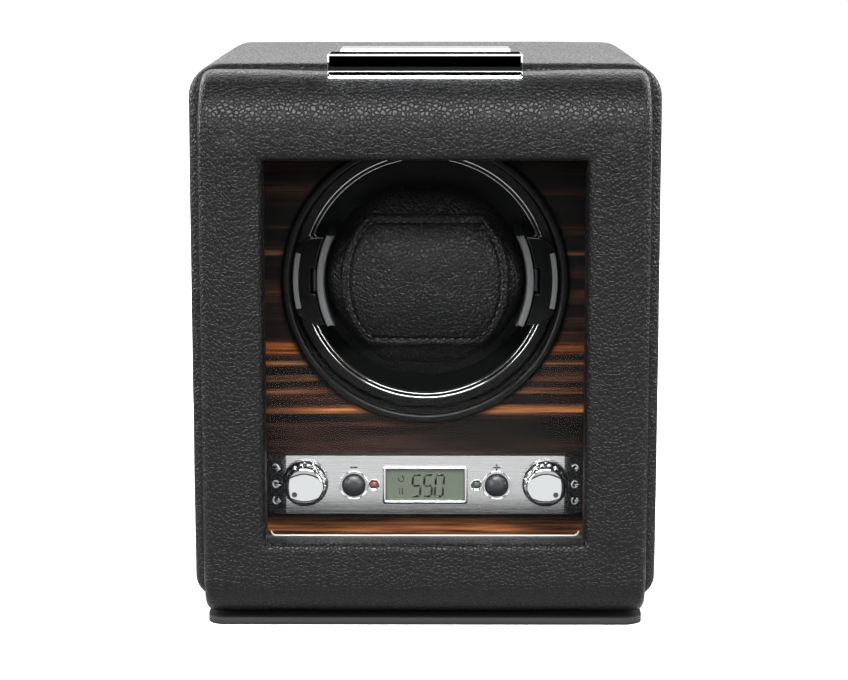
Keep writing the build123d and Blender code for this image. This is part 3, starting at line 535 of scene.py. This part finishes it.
def coverSection(look, inset):
    low, high = boxOf("cover_leather")
    thick = high.y - low.y
    front, seam, head = low.y + inset, high.y - inset, high.z - inset
    hingeY, hingeZ = low.y + thick / 2, low.z + thick / 2
    window = windowEdges(look)
    roll, rear, foot = (max(r - inset, 0.2 * mm) for r in (look["roll"], look["rear"], thick / 2))
    lastZ = high.z - look["roll"]
    fronts = stations([hingeZ, window[1] - look["lip"], window[2] + look["lip"], lastZ], look["step"])
    rears = stations([hingeZ, hingeZ + look["slotRise"], look["pocketFoot"], look["pocketHead"],
                      high.z - look["rear"]], look["step"])
    points = [(front, z, "front") for z in fronts[:-1]]
    for k in range(15):
        angle = math.pi - math.pi / 2 * k / 14
        points.append((front + roll + roll * math.cos(angle), head - roll + roll * math.sin(angle), "roll"))
    start, end = front + roll, seam - rear
    points += [(start + (end - start) * k / 3, head, "top") for k in (1, 2)]
    for k in range(5):
        angle = math.pi / 2 * (1 - k / 4)
        points.append((seam - rear + rear * math.cos(angle), head - rear + rear * math.sin(angle), "edge"))
    points += [(seam, z, "rear") for z in reversed(rears[:-1])]
    for k in range(1, 21):
        angle = -math.pi * k / 20
        points.append((hingeY + foot * math.cos(angle), hingeZ + foot * math.sin(angle), "foot"))
    return points[:-1]


def windowEdges(look):
    # half width, foot and head of the window, inside the glass by its lap
    high, lap = boxOf("window_glass")[1], look["glassLap"]
    return high.x - lap, high.z - look["glassTall"] + lap, high.z - lap


def makeCoverShell(look):
    low, high = boxOf("cover_leather")
    half, thick = high.x, high.y - low.y
    hingeY, hingeZ = low.y + thick / 2, low.z + thick / 2
    windowHalf, windowFoot, windowHead = windowEdges(look)
    lip = look["lip"]
    slotEdges = [look["slotAt"] - look["slotHalf"], look["slotAt"] + look["slotHalf"]]
    right = [0] + sorted(slotEdges + [windowHalf + lip, look["pocketHalf"], half - look["side"]])
    breaks = [-x for x in reversed(right[1:])] + right
    columns = [(x, 0.0, 0.0) for x in stations(breaks, look["step"])]
    turn = [(look["side"] * math.sin(a), look["side"] * (1 - math.cos(a)))
            for a in quarter(6)[1:]]
    ends = [(half - look["side"] + out, inset, 0.0) for out, inset in turn]
    for inset in (4.0, 5.0, 6.0, 7.0):
        ends.append((half, inset * mm, smooth(inset, 3, 7)))
    columns = [(-x, i, p) for x, i, p in reversed(ends)] + columns + ends
    rings = []
    for x, inset, puff in columns:
        ring = []
        for y, z, zone in coverSection(look, inset):
            p = Vector((x + math.copysign(look["sidePillow"] * puff, x), y, z))
            if zone == "front" and not inset:
                window = max(abs(x) - windowHalf - lip, windowFoot - lip - z, z - windowHead - lip)
                edge = min(half - look["side"] - abs(x), z - low.z, high.z - look["roll"] - z + 6 * mm)
                # flat at the foot, which swings down on to the base board
                swell = smooth(z - hingeZ, look["flatFoot"], look["flatFoot"] + 7 * mm)
                swell *= smooth(edge, -1 * mm, 8 * mm)
                p.y -= look["pillow"] * smooth(window, 0, 8 * mm) * swell
            if zone in ("top", "edge", "roll"):
                near = 1 - smooth(abs(x), look["dipHalf"] * 0.35, look["dipHalf"])
                p.z -= look["dip"] * near * smooth(y, low.y + look["roll"] * 0.6, low.y + look["roll"])
            if zone == "front":
                uneven = noise.noise(p / (18 * mm)) * look["ripple"]
                p.y -= uneven * smooth(z - hingeZ, look["flatFoot"], 20 * mm)
            ring.append(p)
        rings.append(ring)
    zones = [zone for y, z, zone in coverSection(look, 0.0)]
    bm = bmesh.new()
    grid = [[bm.verts.new(p) for p in ring] for ring in rings]
    count = len(grid[0])
    for a, b in zip(grid, grid[1:]):
        for i in range(count):
            j = (i + 1) % count
            middle = (a[i].co + a[j].co + b[i].co + b[j].co) / 4
            zone = zones[i]
            inWindow = abs(middle.x) < windowHalf + lip and windowFoot - lip < middle.z < windowHead + lip
            inPocket = (abs(middle.x) < look["pocketHalf"]
                        and look["pocketFoot"] < middle.z < look["pocketHead"])
            inSlot = (abs(abs(middle.x) - look["slotAt"]) < look["slotHalf"]
                      and middle.y > hingeY - look["slotRise"] and middle.z < hingeZ + look["slotRise"])
            if (zone == "front" and inWindow) or (zone in ("rear", "edge") and inPocket):
                continue
            if zone in ("foot", "rear") and inSlot:
                continue
            bm.faces.new((a[i], a[j], b[j], b[i]))
    for ring in (grid[0], grid[-1]):
        bm.faces.new(ring)
    loose = [v for v in bm.verts if not v.link_faces]
    bmesh.ops.delete(bm, geom=loose, context="VERTS")
    # the leather turns in over the window's edge and runs back to the glass
    edges = [e for e in bm.edges
             if e.is_boundary and all(onWindow(v.co, windowHalf + lip) for v in e.verts)]
    middleZ = (windowFoot + windowHead) / 2
    halfX, halfZ, depth = windowHalf + lip, (windowHead - windowFoot) / 2 + lip, 0.0
    path = [(lip * (1 - math.sin(a)), lip * (1 - math.cos(a))) for a in quarter(6)[1:]]
    path += [(0.0, lip + (look["windowDepth"] - lip) * k / 3) for k in (1, 2, 3)]
    for spare, back in path:
        grown = bmesh.ops.extrude_edge_only(bm, edges=edges)["geom"]
        edges = [g for g in grown if isinstance(g, bmesh.types.BMEdge)]
        newX, newZ = windowHalf + spare, (windowHead - windowFoot) / 2 + spare
        for v in (g for g in grown if isinstance(g, bmesh.types.BMVert)):
            v.co.x *= newX / halfX
            v.co.z = middleZ + (v.co.z - middleZ) * newZ / halfZ
            v.co.y += back - depth
        halfX, halfZ, depth = newX, newZ, back
    piece = makePiece("coverShell", bm, leather, "cover", ["cover_leather"])
    addModifier(piece, "SOLIDIFY", {"thickness": look["thick"], "offset": -1.0})


def onWindow(p, limit):
    return p.y < boxOf("cover_leather")[0].y + 2 * mm and abs(p.x) < limit + 0.5 * mm


makeCoverShell(coverShell)

# the cuff
print("cuff")
cuffShape = {
    **lengths(round=33.4, shrink=0.9, voxel=2.2, mostSwell=0.8),
    "frames": 14, "pressure": 3.0,
}


def cuffPlace():
    low, high = boxOf("cuff_pad")
    return (low + high) / 2, (high.z - low.z) / 2, (high.y - low.y) / 2


def padSurface(x, z, look):
    # how far in front of its middle the pad stands at a place on its face
    centre, tall, deep = cuffPlace()
    round_ = look["round"]
    height = min(tall, math.sqrt(max(round_ ** 2 - x * x, (2 * mm) ** 2)))
    t = min(abs(z) / height, 1.0)
    return deep * math.sqrt(max(1 - t ** 2.3, 0.0)) * (1 - 0.1 * (x / round_) ** 4)


def makeCuffPad(look):
    centre, tall, deep = cuffPlace()
    rings = []
    for k in range(41):
        x = look["round"] * math.sin(math.pi / 2 * (k / 20 - 1)) * 0.985
        height = min(tall, math.sqrt(max(look["round"] ** 2 - x * x, 0))) - look["shrink"]
        depth = (deep - look["shrink"]) * (1 - 0.1 * (x / look["round"]) ** 4)
        ring = []
        for i in range(56):
            angle = 2 * math.pi * i / 56
            c, s = math.cos(angle), math.sin(angle)
            ring.append(centre + Vector((x, -depth * math.copysign(abs(c) ** 0.9, c),
                                         height * math.copysign(abs(s) ** 0.9, s))))
        rings.append(ring)
    bm = bmesh.new()
    skin(bm, rings, caps=(0, -1))
    piece = makePiece("cuffPad", bm, sideLeather, "cuff",
                      ["cuff_pad", "cuff_core"])
    stuff(piece, look)


def bakeModifiers(obj):
    evaluated = obj.evaluated_get(bpy.context.evaluated_depsgraph_get())
    mesh = bpy.data.meshes.new_from_object(evaluated)
    obj.modifiers.clear()
    obj.data = mesh


def stuff(obj, look):
    addModifier(obj, "REMESH", {"mode": "VOXEL", "voxel_size": look["voxel"], "use_smooth_shade": True})
    bakeModifiers(obj)
    rest = [v.co.copy() for v in obj.data.vertices]
    cloth = addModifier(obj, "CLOTH", {})
    settings = cloth.settings
    settings.quality = 6
    settings.use_pressure = True
    settings.uniform_pressure_force = look["pressure"]
    settings.effector_weights.gravity = 0
    settings.tension_stiffness = 12
    settings.bending_stiffness = 1.5
    scene = bpy.context.scene
    for number in range(1, look["frames"] + 1):
        scene.frame_set(number)
    bakeModifiers(obj)
    scene.frame_set(1)
    for vertex, start in zip(obj.data.vertices, rest):
        move = vertex.co - start
        if move.length > look["mostSwell"]:
            vertex.co = start + move.normalized() * look["mostSwell"]
    obj.data.shade_smooth()
    addModifier(obj, "SMOOTH", {"factor": 0.5, "iterations": 2})
    addModifier(obj, "SUBSURF", {"levels": 1, "render_levels": 1})


makeCuffPad(cuffShape)

cuffPatch = lengths(
    flat=18.5, half=28.2, tall=22.3, thick=1.1, crown=1.7, seamIn=2.5, seamDeep=0.75, stitch=1.9,
    gap=0.9, stitchR=0.36, holeR=0.5,
)


def patchHalf(z, look, inset=0.0):
    t = min(abs(z) / (look["tall"] - inset), 1.0)
    return look["flat"] - inset * 0.6 + (look["half"] - look["flat"] - inset * 0.4) * (1 - t ** 2.2) ** 0.75


def patchSpot(x, z, look):
    # a place on the patch's face
    centre, tall, deep = cuffPlace()
    side = (patchHalf(z, look) - abs(x)) * 0.9
    edge = max(min(side, look["tall"] - abs(z)), 0.0)
    rise = look["thick"] * math.sqrt(1 - (1 - min(edge / (0.9 * mm), 1)) ** 2)
    groove = look["seamDeep"] * math.exp(-((edge - look["seamIn"]) / (0.7 * mm)) ** 2)
    crown = look["crown"] * smooth(edge, look["seamIn"], look["seamIn"] + 17 * mm)
    front = centre.y - padSurface(x, z, cuffShape) - rise + groove - crown
    return Vector((centre.x + x, front, centre.z + z))


def spread(count, power=0.6):
    # places from -1 to 1, closer together near the ends
    evenly = (2 * k / count - 1 for k in range(count + 1))
    return [math.copysign(1 - (1 - abs(t)) ** (1 / power), t) for t in evenly]


def makeCuffPatch(look):
    rings = []
    for v in spread(150):
        z = v * look["tall"]
        rings.append([patchSpot(u * patchHalf(z, look), z, look) for u in spread(180)])
    bm = bmesh.new()
    skin(bm, rings, closed=False)
    bmesh.ops.recalc_face_normals(bm, faces=bm.faces)
    bm.normal_update()
    if sum(f.normal.y for f in bm.faces) > 0:
        bmesh.ops.reverse_faces(bm, faces=bm.faces)
    piece = makePiece("cuffPatch", bm, patchLeather, "cuff", ["cuff_patch"])
    addModifier(piece, "SOLIDIFY", {"thickness": 1.4 * mm, "offset": -1.0})


def seamLine(look):
    # the sewing line, as evenly spaced places round the patch
    inset = look["seamIn"]
    top = look["tall"] - inset
    heights = [top * math.cos(math.pi * k / 199) for k in range(200)]
    outline = [(patchHalf(z, look, inset), z) for z in heights]
    outline += [(-x, z) for x, z in reversed(outline)]
    outline.append(outline[0])
    pitch = look["stitch"] + look["gap"]
    places, travelled, target = [], 0.0, 0.0
    for (x0, z0), (x1, z1) in zip(outline, outline[1:]):
        length = math.hypot(x1 - x0, z1 - z0)
        while length > 0 and travelled + length >= target:
            t = (target - travelled) / length
            places.append((x0 + (x1 - x0) * t, z0 + (z1 - z0) * t, math.atan2(z1 - z0, x1 - x0)))
            target += pitch
        travelled += length
    return places


def makeStitches(look):
    bm = bmesh.new()
    for x, z, angle in seamLine(look):
        spot = patchSpot(x, z, look)
        along = Vector((math.cos(angle), 0, math.sin(angle)))
        across = Vector((-math.sin(angle), 0, math.cos(angle)))
        rings = []
        for k in range(7):
            t = -1 + 2 * k / 6
            radius = look["stitchR"] * math.sqrt(max(1 - t ** 4, 0.02))
            sink = look["stitchR"] * (1.2 * t ** 4 - 0.5)
            middle = spot + Vector((0, sink, 0)) + along * t * look["stitch"] / 2
            rings.append([middle + across * radius * math.cos(a) + Vector((0, -radius * math.sin(a), 0))
                          for a in (2 * math.pi * i / 8 for i in range(8))])
        skin(bm, rings, caps=(0, -1))
    makePiece("cuffStitches", bm, plastic["waxedThread"], "cuff")


def makeHoleShades(look):
    # painted shade: dark domes at each end of a stitch, standing in for the shaded needle holes
    half = (look["stitch"] + look["gap"]) / 2
    bm = bmesh.new()
    for x, z, angle in seamLine(look):
        spot = patchSpot(x + half * math.cos(angle), z + half * math.sin(angle), look)
        spot.y += 0.1 * mm
        skin(bm, domeRings(look["holeR"], 0.22 * mm, 0.1 * mm, spot, 12), caps=[-1])
    makePiece("cuffHoleShades", bm, plastic["needleHoleShade"], "cuff")


makeCuffPatch(cuffPatch)
makeStitches(cuffPatch)
makeHoleShades(cuffPatch)

# the drum
print("drum")
armPads = {
    # piece, body, the node it lies on, inner and outer radius, half angle
    "pads": [
        ("armPads", "rotor", "rotor_arms", 42.4, 44.2, 12.5),
        ("capPads", "cuff", "cuff_caps", 34.1, 36.2, 25.4),
    ],
    "proud": 0.35 * mm,
}


def arcBand(bm, centre, inner, outer, start, end, front, back, steps=24):
    rings = []
    for k in range(steps + 1):
        angle = math.radians(start + (end - start) * k / steps)
        spot = [(inner, front), (outer, front), (outer, back), (inner, back)]
        rings.append([Vector((centre.x + r * math.cos(angle), y, centre.z + r * math.sin(angle)))
                      for r, y in spot])
    skin(bm, rings, caps=(0, -1))


def makeArmPads(look):
    for name, body, node, inner, outer, halfAngle in look["pads"]:
        front = boxOf(node)[0].y
        bm = bmesh.new()
        centre = spotOver("rotor_cup", 0)
        for middle in (0, 180):
            arcBand(bm, centre, inner * mm, outer * mm, middle - halfAngle, middle + halfAngle,
                    front - look["proud"], front + 1 * mm, 40)
        piece = makePiece(name, bm, plastic["greyRubber"], body)
        addModifier(piece, "BEVEL", {"width": 0.25 * mm, "segments": 3})


makeArmPads(armPads)

rimRing = lengths(outer=41.5, outerBead=0.3, inner=40.2, innerBead=0.16)


def makeRimRing(look):
    # a bright bead round the drum's mouth, and a finer one inside it
    centre = spotOver("rotor_cup", boxOf("rotor_ring")[0].y)
    bm = bmesh.new()
    for middle, bead in ((look["outer"], look["outerBead"]), (look["inner"], look["innerBead"])):
        profile = [(middle + bead * math.cos(a), bead * (math.sin(a) - 1) - 0.3 * mm, 0)
                   for a in (2 * math.pi * k / 16 for k in range(17))]
        skin(bm, turnedRings(profile, 192, centre))
    makePiece("rimRing", bm, chrome, "rotor", ["rotor_ring"])


makeRimRing(rimRing)

# the controls
print("controls")
knobShape = {
    **lengths(skirt=7.8, grip=7.1, face=6.1, lobeDepth=0.55, height=6.8, dimple=0.75, dimpleOut=4.1),
    "lobes": 16, "dimpleAngle": 217,
}


def makeKnob(name, body, node, look, mirrored):
    centre = spotOver(node, boxOf("control_plate")[0].y - 0.2 * mm)
    skirt, grip, face, high = look["skirt"], look["grip"], look["face"], look["height"]
    profile = [
        (skirt - 0.3 * mm, 0, 0), (skirt, 0.3 * mm, 0), (skirt, 0.9 * mm, 0),
        (skirt - 0.25 * mm, 1.3 * mm, 0),
        (skirt - 0.6 * mm, 1.45 * mm, 0), (grip + 0.1 * mm, 1.6 * mm, 0.3), (grip, 2.0 * mm, 1.0),
        (grip - 0.1 * mm, 3.4 * mm, 1.0), (grip - 0.25 * mm, high - 1.3 * mm, 1.0),
        (grip - 0.4 * mm, high - 0.8 * mm, 0.6), (face + 0.35 * mm, high - 0.3 * mm, 0.15),
        (face, high - 0.08 * mm, 0.0), (face * 0.94, high, 0), (face * 0.7, high + 0.12 * mm, 0),
        (face * 0.35, high + 0.2 * mm, 0), (face * 0.04, high + 0.22 * mm, 0),
    ]
    bm = bmesh.new()
    skin(bm, turnedRings(profile, 128, centre, look["lobes"], look["lobeDepth"]), caps=(0, -1))
    piece = makePiece(name, bm, chrome, body, [node])
    # the pointer: a small dark cup let into the face
    angle = math.radians(look["dimpleAngle"] if not mirrored else 180 - look["dimpleAngle"])
    spot = centre + Vector((look["dimpleOut"] * math.cos(angle), -high - 0.16 * mm,
                            look["dimpleOut"] * math.sin(angle)))
    bm = bmesh.new()
    ringShape = [(1.25, -0.3), (1.2, 0.05), (1.0, 0.1), (0.85, 0.02), (0.5, -0.02), (0.05, -0.03)]
    rings = turnedRings([(r * look["dimple"], out * mm, 0) for r, out in ringShape], 32, spot)
    skin(bm, rings, caps=[-1])
    makePiece(name + "Pointer", bm, plastic["engravedFill"], body)


makeKnob("leftKnobBody", "left_knob", "left_knob", knobShape, False)
makeKnob("rightKnobBody", "right_knob", "right_knob", knobShape, True)

buttonShape = lengths(radius=3.65, dome=1.9, rimInner=3.85, rimOuter=4.95)
lampShape = lengths(radius=1.2, dome=0.75, rimInner=1.35, rimOuter=2.0)


def makeDome(name, body, finishName, centre, look, base, replaced):
    bm = bmesh.new()
    skin(bm, domeRings(look["radius"], look["dome"], base, centre), caps=(0, -1))
    makePiece(name, bm, plastic[finishName], body, replaced)


def makeRim(name, centre, inner, outer, rise):
    # a polished cup that the button or lamp sits in
    wide = outer - inner
    profile = [(inner, -2 * mm, 0), (inner, 0.06 * mm, 0), (inner + wide * 0.3, rise * 0.25, 0),
               (inner + wide * 0.62, rise * 0.75, 0), (inner + wide * 0.8, rise, 0),
               (inner + wide * 0.93, rise * 0.85, 0), (outer, rise * 0.3, 0), (outer, -0.3 * mm, 0)]
    bm = bmesh.new()
    skin(bm, turnedRings(profile, 48, centre))
    makePiece(name, bm, chrome, "case")


def makePressables():
    plateFront = boxOf("display_frame")[1].y
    for name, body in (("minusButton", "minus_button"), ("plusButton", "plus_button")):
        centre = spotOver(body, plateFront)
        makeDome(name, body, "buttonAbs", centre, buttonShape, 3 * mm, [body])
        makeRim(name + "Cup", centre, buttonShape["rimInner"], buttonShape["rimOuter"], 0.75 * mm)
    low, high = boxOf("lamps")
    for name, x in (("red", low.x + 1.3 * mm), ("green", high.x - 1.3 * mm)):
        centre = Vector((x, plateFront, (low.z + high.z) / 2))
        replaced = ["lamps"] if name == "red" else []
        makeDome(name + "Lamp", "case", name + "Lens", centre, lampShape, 2 * mm, replaced)
        makeRim(name + "LampCup", centre, lampShape["rimInner"], lampShape["rimOuter"], 0.4 * mm)


makePressables()

display = {
    **lengths(digit=7.3, wide=2.75, pitch=3.85, stroke=0.72),
    "lean": 0.08, "number": "550",
}
segmentsOf = {"0": "abcdef", "5": "acdfg"}


def slab(bm, corners, front, back):
    rings = [[Vector((x, y, z)) for x, z in corners] for y in (front, back)]
    skin(bm, rings, caps=(0, -1))


def bar(bm, x0, z0, x1, z1, width, front, back, lean=0.0, baseZ=0.0):
    # a stroke with pointed ends
    length = math.hypot(x1 - x0, z1 - z0)
    ux, uz = (x1 - x0) / length, (z1 - z0) / length
    px, pz, h = -uz, ux, width / 2
    spots = [(0, 0), (h, h), (length - h, h), (length, 0), (length - h, -h), (h, -h)]
    corners = [(x0 + ux * a + px * b, z0 + uz * a + pz * b) for a, b in spots]
    slab(bm, [(x + (z - baseZ) * lean, z) for x, z in corners], front, back)


def makeNumber(look):
    low, high = boxOf("display_panel")
    centre = (low + high) / 2
    front, back = low.y - 0.06 * mm, low.y + 0.05 * mm
    w, h, gap = look["wide"], look["digit"], 0.18 * mm
    bm = bmesh.new()
    startX = centre.x - 1.45 * look["pitch"] + 1.0 * mm
    bottom = centre.z - h / 2 - 0.3 * mm
    for index, digit in enumerate(look["number"]):
        x = startX + index * look["pitch"]
        lines = {
            "a": (gap, h, w - gap, h), "g": (gap, h / 2, w - gap, h / 2), "d": (gap, 0, w - gap, 0),
            "f": (0, h - gap, 0, h / 2 + gap), "e": (0, h / 2 - gap, 0, gap),
            "b": (w, h - gap, w, h / 2 + gap), "c": (w, h / 2 - gap, w, gap),
        }
        for key in segmentsOf[digit]:
            x0, z0, x1, z1 = lines[key]
            bar(bm, x + x0, bottom + z0, x + x1, bottom + z1, look["stroke"], front, back,
                look["lean"], bottom)
    # a turning arrow above two bars, for the drum's turn and its rest
    signX = low.x + 4.9 * mm
    arcBand(bm, Vector((signX, 0, centre.z + 2.1 * mm)), 0.75 * mm, 1.1 * mm, -215, 70, front, back, 16)
    bar(bm, signX + 0.1 * mm, centre.z + 3.4 * mm, signX + 0.9 * mm, centre.z + 2.6 * mm, 0.4 * mm,
        front, back)
    for side in (-0.45, 0.45):
        x = signX + side * mm
        bar(bm, x, centre.z - 3.2 * mm, x, centre.z - 1.2 * mm, 0.32 * mm, front, back)
    makePiece("displayNumber", bm, plastic["displayInk"], "case")


makeNumber(display)

displayRim = lengths(wide=1.3, rise=0.75, corner=0.9)


def roundedLoop(halfX, halfZ, radius, steps=6):
    loop = []
    for index, (sx, sz) in enumerate(((1, 1), (-1, 1), (-1, -1), (1, -1))):
        for k in range(steps + 1):
            a = math.pi / 2 * (index + k / steps)
            loop.append((sx * (halfX - radius) + radius * math.cos(a),
                         sz * (halfZ - radius) + radius * math.sin(a)))
    return loop


def makeDisplayRim(look):
    low, high = boxOf("display_frame")
    centre, half = (low + high) / 2, (high - low) / 2
    rings = []
    for k in range(11):
        a = math.pi * k / 10
        inset = look["wide"] * (1 - math.cos(a)) / 2
        y = high.y + 0.1 * mm - (look["rise"] + 0.1 * mm) * math.sin(a) ** 0.8
        radius = max(look["corner"] - inset * 0.5, 0.3 * mm)
        rings.append([Vector((centre.x + x, y, centre.z + z))
                      for x, z in roundedLoop(half.x - inset, half.z - inset, radius)])
    bm = bmesh.new()
    skin(bm, rings)
    makePiece("displayRim", bm, chrome, "case", ["display_frame"])


makeDisplayRim(displayRim)

plateMarks = {
    **lengths(minus=2.6, stroke=0.55, above=6.0, signR=1.15, signStroke=0.44, signOut=50.3,
              signBack=1.05),
    "signTurn": 30,
}


def makePlateMarks(look):
    plateFront = boxOf("display_frame")[1].y
    front, back = plateFront - 0.05 * mm, plateFront + 0.2 * mm
    middleZ = spotOver("control_plate", 0).z
    bm = bmesh.new()
    for node, upright in (("minus_button", False), ("plus_button", True)):
        x, z = spotOver(node, 0).x, middleZ + look["above"]
        reach = look["minus"] / 2
        bar(bm, x - reach, z, x + reach, z, look["stroke"], front, back)
        if upright:
            bar(bm, x, z - reach, x, z + reach, look["stroke"], front - 0.01 * mm, back)
    makePiece("plateSigns", bm, plastic["engravedFill"], "case")
    # three generic direction signs on each bent end
    bm = bmesh.new()
    for side in (-1, 1):
        for level, (start, end) in zip((5.6, 0.0, -5.6), ((-60, 150), (30, 330), (120, 400))):
            before, half = len(bm.verts), look["signStroke"] / 2
            arcBand(bm, Vector(), look["signR"] - half, look["signR"] + half, start, end,
                    -half, 0.6 * mm, 14)
            bar(bm, 0, -0.2 * mm, look["signR"] * 1.7, -0.2 * mm, 0.4 * mm, -half, 0.6 * mm)
            bm.verts.ensure_lookup_table()
            place = (side * look["signOut"], plateFront + look["signBack"], middleZ + level * mm)
            turn = Matrix.Rotation(math.radians(side * look["signTurn"]), 4, "Z")
            bmesh.ops.transform(bm, matrix=Matrix.Translation(place) @ turn, verts=bm.verts[before:])
    makePiece("plateEndSigns", bm, plastic["markEnamel"], "case")


makePlateMarks(plateMarks)

# the clasp
print("clasp")
claspShape = lengths(flapDrop=1.0, baseRise=0.7, baseFront=2.0, edge=0.3)


def makeSlab(name, low, high, body, edge):
    bm = bmesh.new()
    bmesh.ops.create_cube(bm, size=1.0)
    for v in bm.verts:
        v.co = Vector([(a + b) / 2 + c * (b - a) for a, b, c in zip(low, high, v.co)])
    bmesh.ops.bevel(bm, geom=bm.edges, offset=edge, segments=4, profile=0.5, affect="EDGES")
    makePiece(name, bm, chrome, body)


def makeClasp(look):
    low, high = boxOf("clasp_flap")
    back = boxOf("clasp_pin")[0].y - 1.0 * mm
    foot = low.z - look["flapDrop"]
    makeSlab("claspPlate", (low.x, low.y, foot), (high.x, back, high.z), "clasp", look["edge"])
    low, high = boxOf("clasp_base")
    front = boxOf("clasp_pin")[1].y + look["baseFront"]
    head = high.z + look["baseRise"]
    makeSlab("claspBlock", (low.x, front, low.z), (high.x, high.y, head), "case", look["edge"])


makeClasp(claspShape)

# the pane's polished lower edge: a glossy bead whose pale colour is a painted highlight
print("pane edge")
paneHighlightBead = lengths(radius=0.27, corner=1.6, inset=1.2, rise=0.9)


def makePaneHighlightBead(look):
    windowHalf, windowFoot, windowHead = windowEdges(coverShell)
    y = boxOf("window_glass")[0].y - look["radius"]
    half, low = windowHalf - look["inset"], windowFoot + look["rise"]
    points = [(-half, low + look["corner"])]
    points += [(-half + look["corner"] * (1 - math.cos(a)), low + look["corner"] * (1 - math.sin(a)))
               for a in quarter(6)[1:]]
    points += [(-x, z) for x, z in reversed(points)]
    curve = bpy.data.curves.new("paneHighlightBead", "CURVE")
    curve.dimensions = "3D"
    curve.bevel_depth = look["radius"]
    curve.bevel_resolution = 4
    spline = curve.splines.new("POLY")
    spline.points.add(len(points) - 1)
    for point, (x, z) in zip(spline.points, points):
        point.co = (x, y, z, 1)
    bead = newObject("paneHighlightBead", curve)
    curve.materials.append(plastic["paneEdgeHighlight"])
    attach(bead, "cover")


makePaneHighlightBead(paneHighlightBead)

# floor, light and camera
print("stage")
studio = {
    "floor": "#f6f6f6", "size": 60.0, "glow": 0.95, "shadowGlow": 0.3, "shadowFrom": 0.1, "shadowTo": 0.36,
    "band": 0.9, "above": 0.1, "below": 0.03,
    # a white card on the floor, seen only in reflections
    "card": (0.9, 0.57), "cardPlace": (0.0, -0.302, 0.001), "cardGlow": 1.3,
}


def flatSheet(name, sizeX, sizeY, place, material):
    x, y = sizeX / 2, sizeY / 2
    mesh = bpy.data.meshes.new(name)
    mesh.from_pydata([(-x, -y, 0), (x, -y, 0), (x, y, 0), (-x, y, 0)], [], [(0, 1, 2, 3)])
    mesh.materials.append(material)
    sheet = newObject(name, mesh)
    sheet.location = place
    return sheet


def makeFloor(look):
    material, tree, shader, place = startMaterial("studioFloor", {
        "Base Color": look["floor"], "Roughness": 0.9, "Specular IOR Level": 0.0,
        "Emission Color": "#ffffff",
    })
    # the glow fades out round the foot, where the box's own shadow shows: the fade itself is a painted
    # shade round the box
    away = addNode(tree, "VectorMath", {"operation": "LENGTH"}, {0: place}).outputs["Value"]
    glow = remapped(tree, away, look["shadowFrom"], look["shadowTo"], look["shadowGlow"], look["glow"],
                    "SMOOTHSTEP")
    tree.links.new(glow, shader.inputs["Emission Strength"])
    floor = flatSheet("floor", look["size"], look["size"], (0, 0, -0.05 * mm), material)
    floor.visible_diffuse = False
    floor.visible_glossy = False
    material, tree, shader, place = startMaterial("reflectorCard", {
        "Base Color": "#000000", "Specular IOR Level": 0.0,
        "Emission Color": "#ffffff", "Emission Strength": look["cardGlow"],
    })
    card = flatSheet("reflectorCard", look["card"][0], look["card"][1], look["cardPlace"], material)
    card.visible_camera = False
    card.visible_diffuse = False
    card.visible_shadow = False


def makeWorld(look):
    world = bpy.data.worlds.new("studio")
    bpy.context.scene.world = world
    world.use_nodes = True
    tree = world.node_tree
    tree.nodes.clear()
    way = addNode(tree, "TexCoord").outputs["Generated"]
    up = addNode(tree, "SeparateXYZ", None, {0: way}).outputs[2]
    # a bright band round the horizon between a dim ceiling and a dark floor
    over = remapped(tree, up, 0.1, 0.26, look["band"], look["above"], "SMOOTHSTEP")
    under = remapped(tree, up, -0.06, -0.01, look["below"], 1.0, "SMOOTHSTEP")
    level = addNode(tree, "Math", {"operation": "MULTIPLY"}, {0: over, 1: under}).outputs[0]
    back = addNode(tree, "Background", {"Color": "#ffffff"}, {"Strength": level})
    addNode(tree, "OutputWorld", None, {"Surface": back.outputs[0]})


softboxes = [
    # names, place of the first, width, height, watts of each; a second name stands mirrored on the right
    (["keyBox"], (0.0, -0.95, 1.1), 1.3, 0.5, 52.0),
    (["frontTop"], (0.0, -1.4, 0.62), 0.6, 0.25, 4.0),
    (["backBox"], (0.0, 1.3, 0.8), 1.2, 0.6, 9.0),
    (["frontLeft", "frontRight"], (-0.95, -1.25, 0.42), 0.45, 0.6, 11.0),
    (["leftBox", "rightBox"], (-1.3, 0.35, 0.5), 0.4, 0.7, 20.0),
    (["rearLeft", "rearRight"], (-0.9, 1.2, 0.8), 0.45, 0.6, 9.0),
]
lightAim = Vector((0, 0, 0.1))


def makeLights():
    for names, (x, y, z), width, height, watts in softboxes:
        for name, side in zip(names, (1, -1)):
            light = bpy.data.lights.new(name, "AREA")
            light.shape = "RECTANGLE"
            light.size = width
            light.size_y = height
            light.energy = watts
            obj = newObject(name, light)
            obj.location = (x * side, y, z)
            obj.rotation_euler = (lightAim - obj.location).to_track_quat("-Z", "Y").to_euler()
            obj.visible_camera = False


cameraSet = {"place": (3.3 * mm, -870 * mm, 229.9 * mm), "down": 9.69, "left": 0.26, "lens": 105.5}


def makeCamera(look):
    camera = bpy.data.cameras.new("camera")
    camera.lens = look["lens"]
    camera.sensor_width = 36
    obj = newObject("camera", camera)
    obj.location = look["place"]
    obj.rotation_euler = Euler((math.radians(90 - look["down"]), 0, math.radians(look["left"])))
    bpy.context.scene.camera = obj


makeFloor(studio)
makeWorld(studio)
makeLights()
makeCamera(cameraSet)
view = bpy.context.scene.view_settings
view.view_transform = "Standard"
view.look = "None"

print("done")
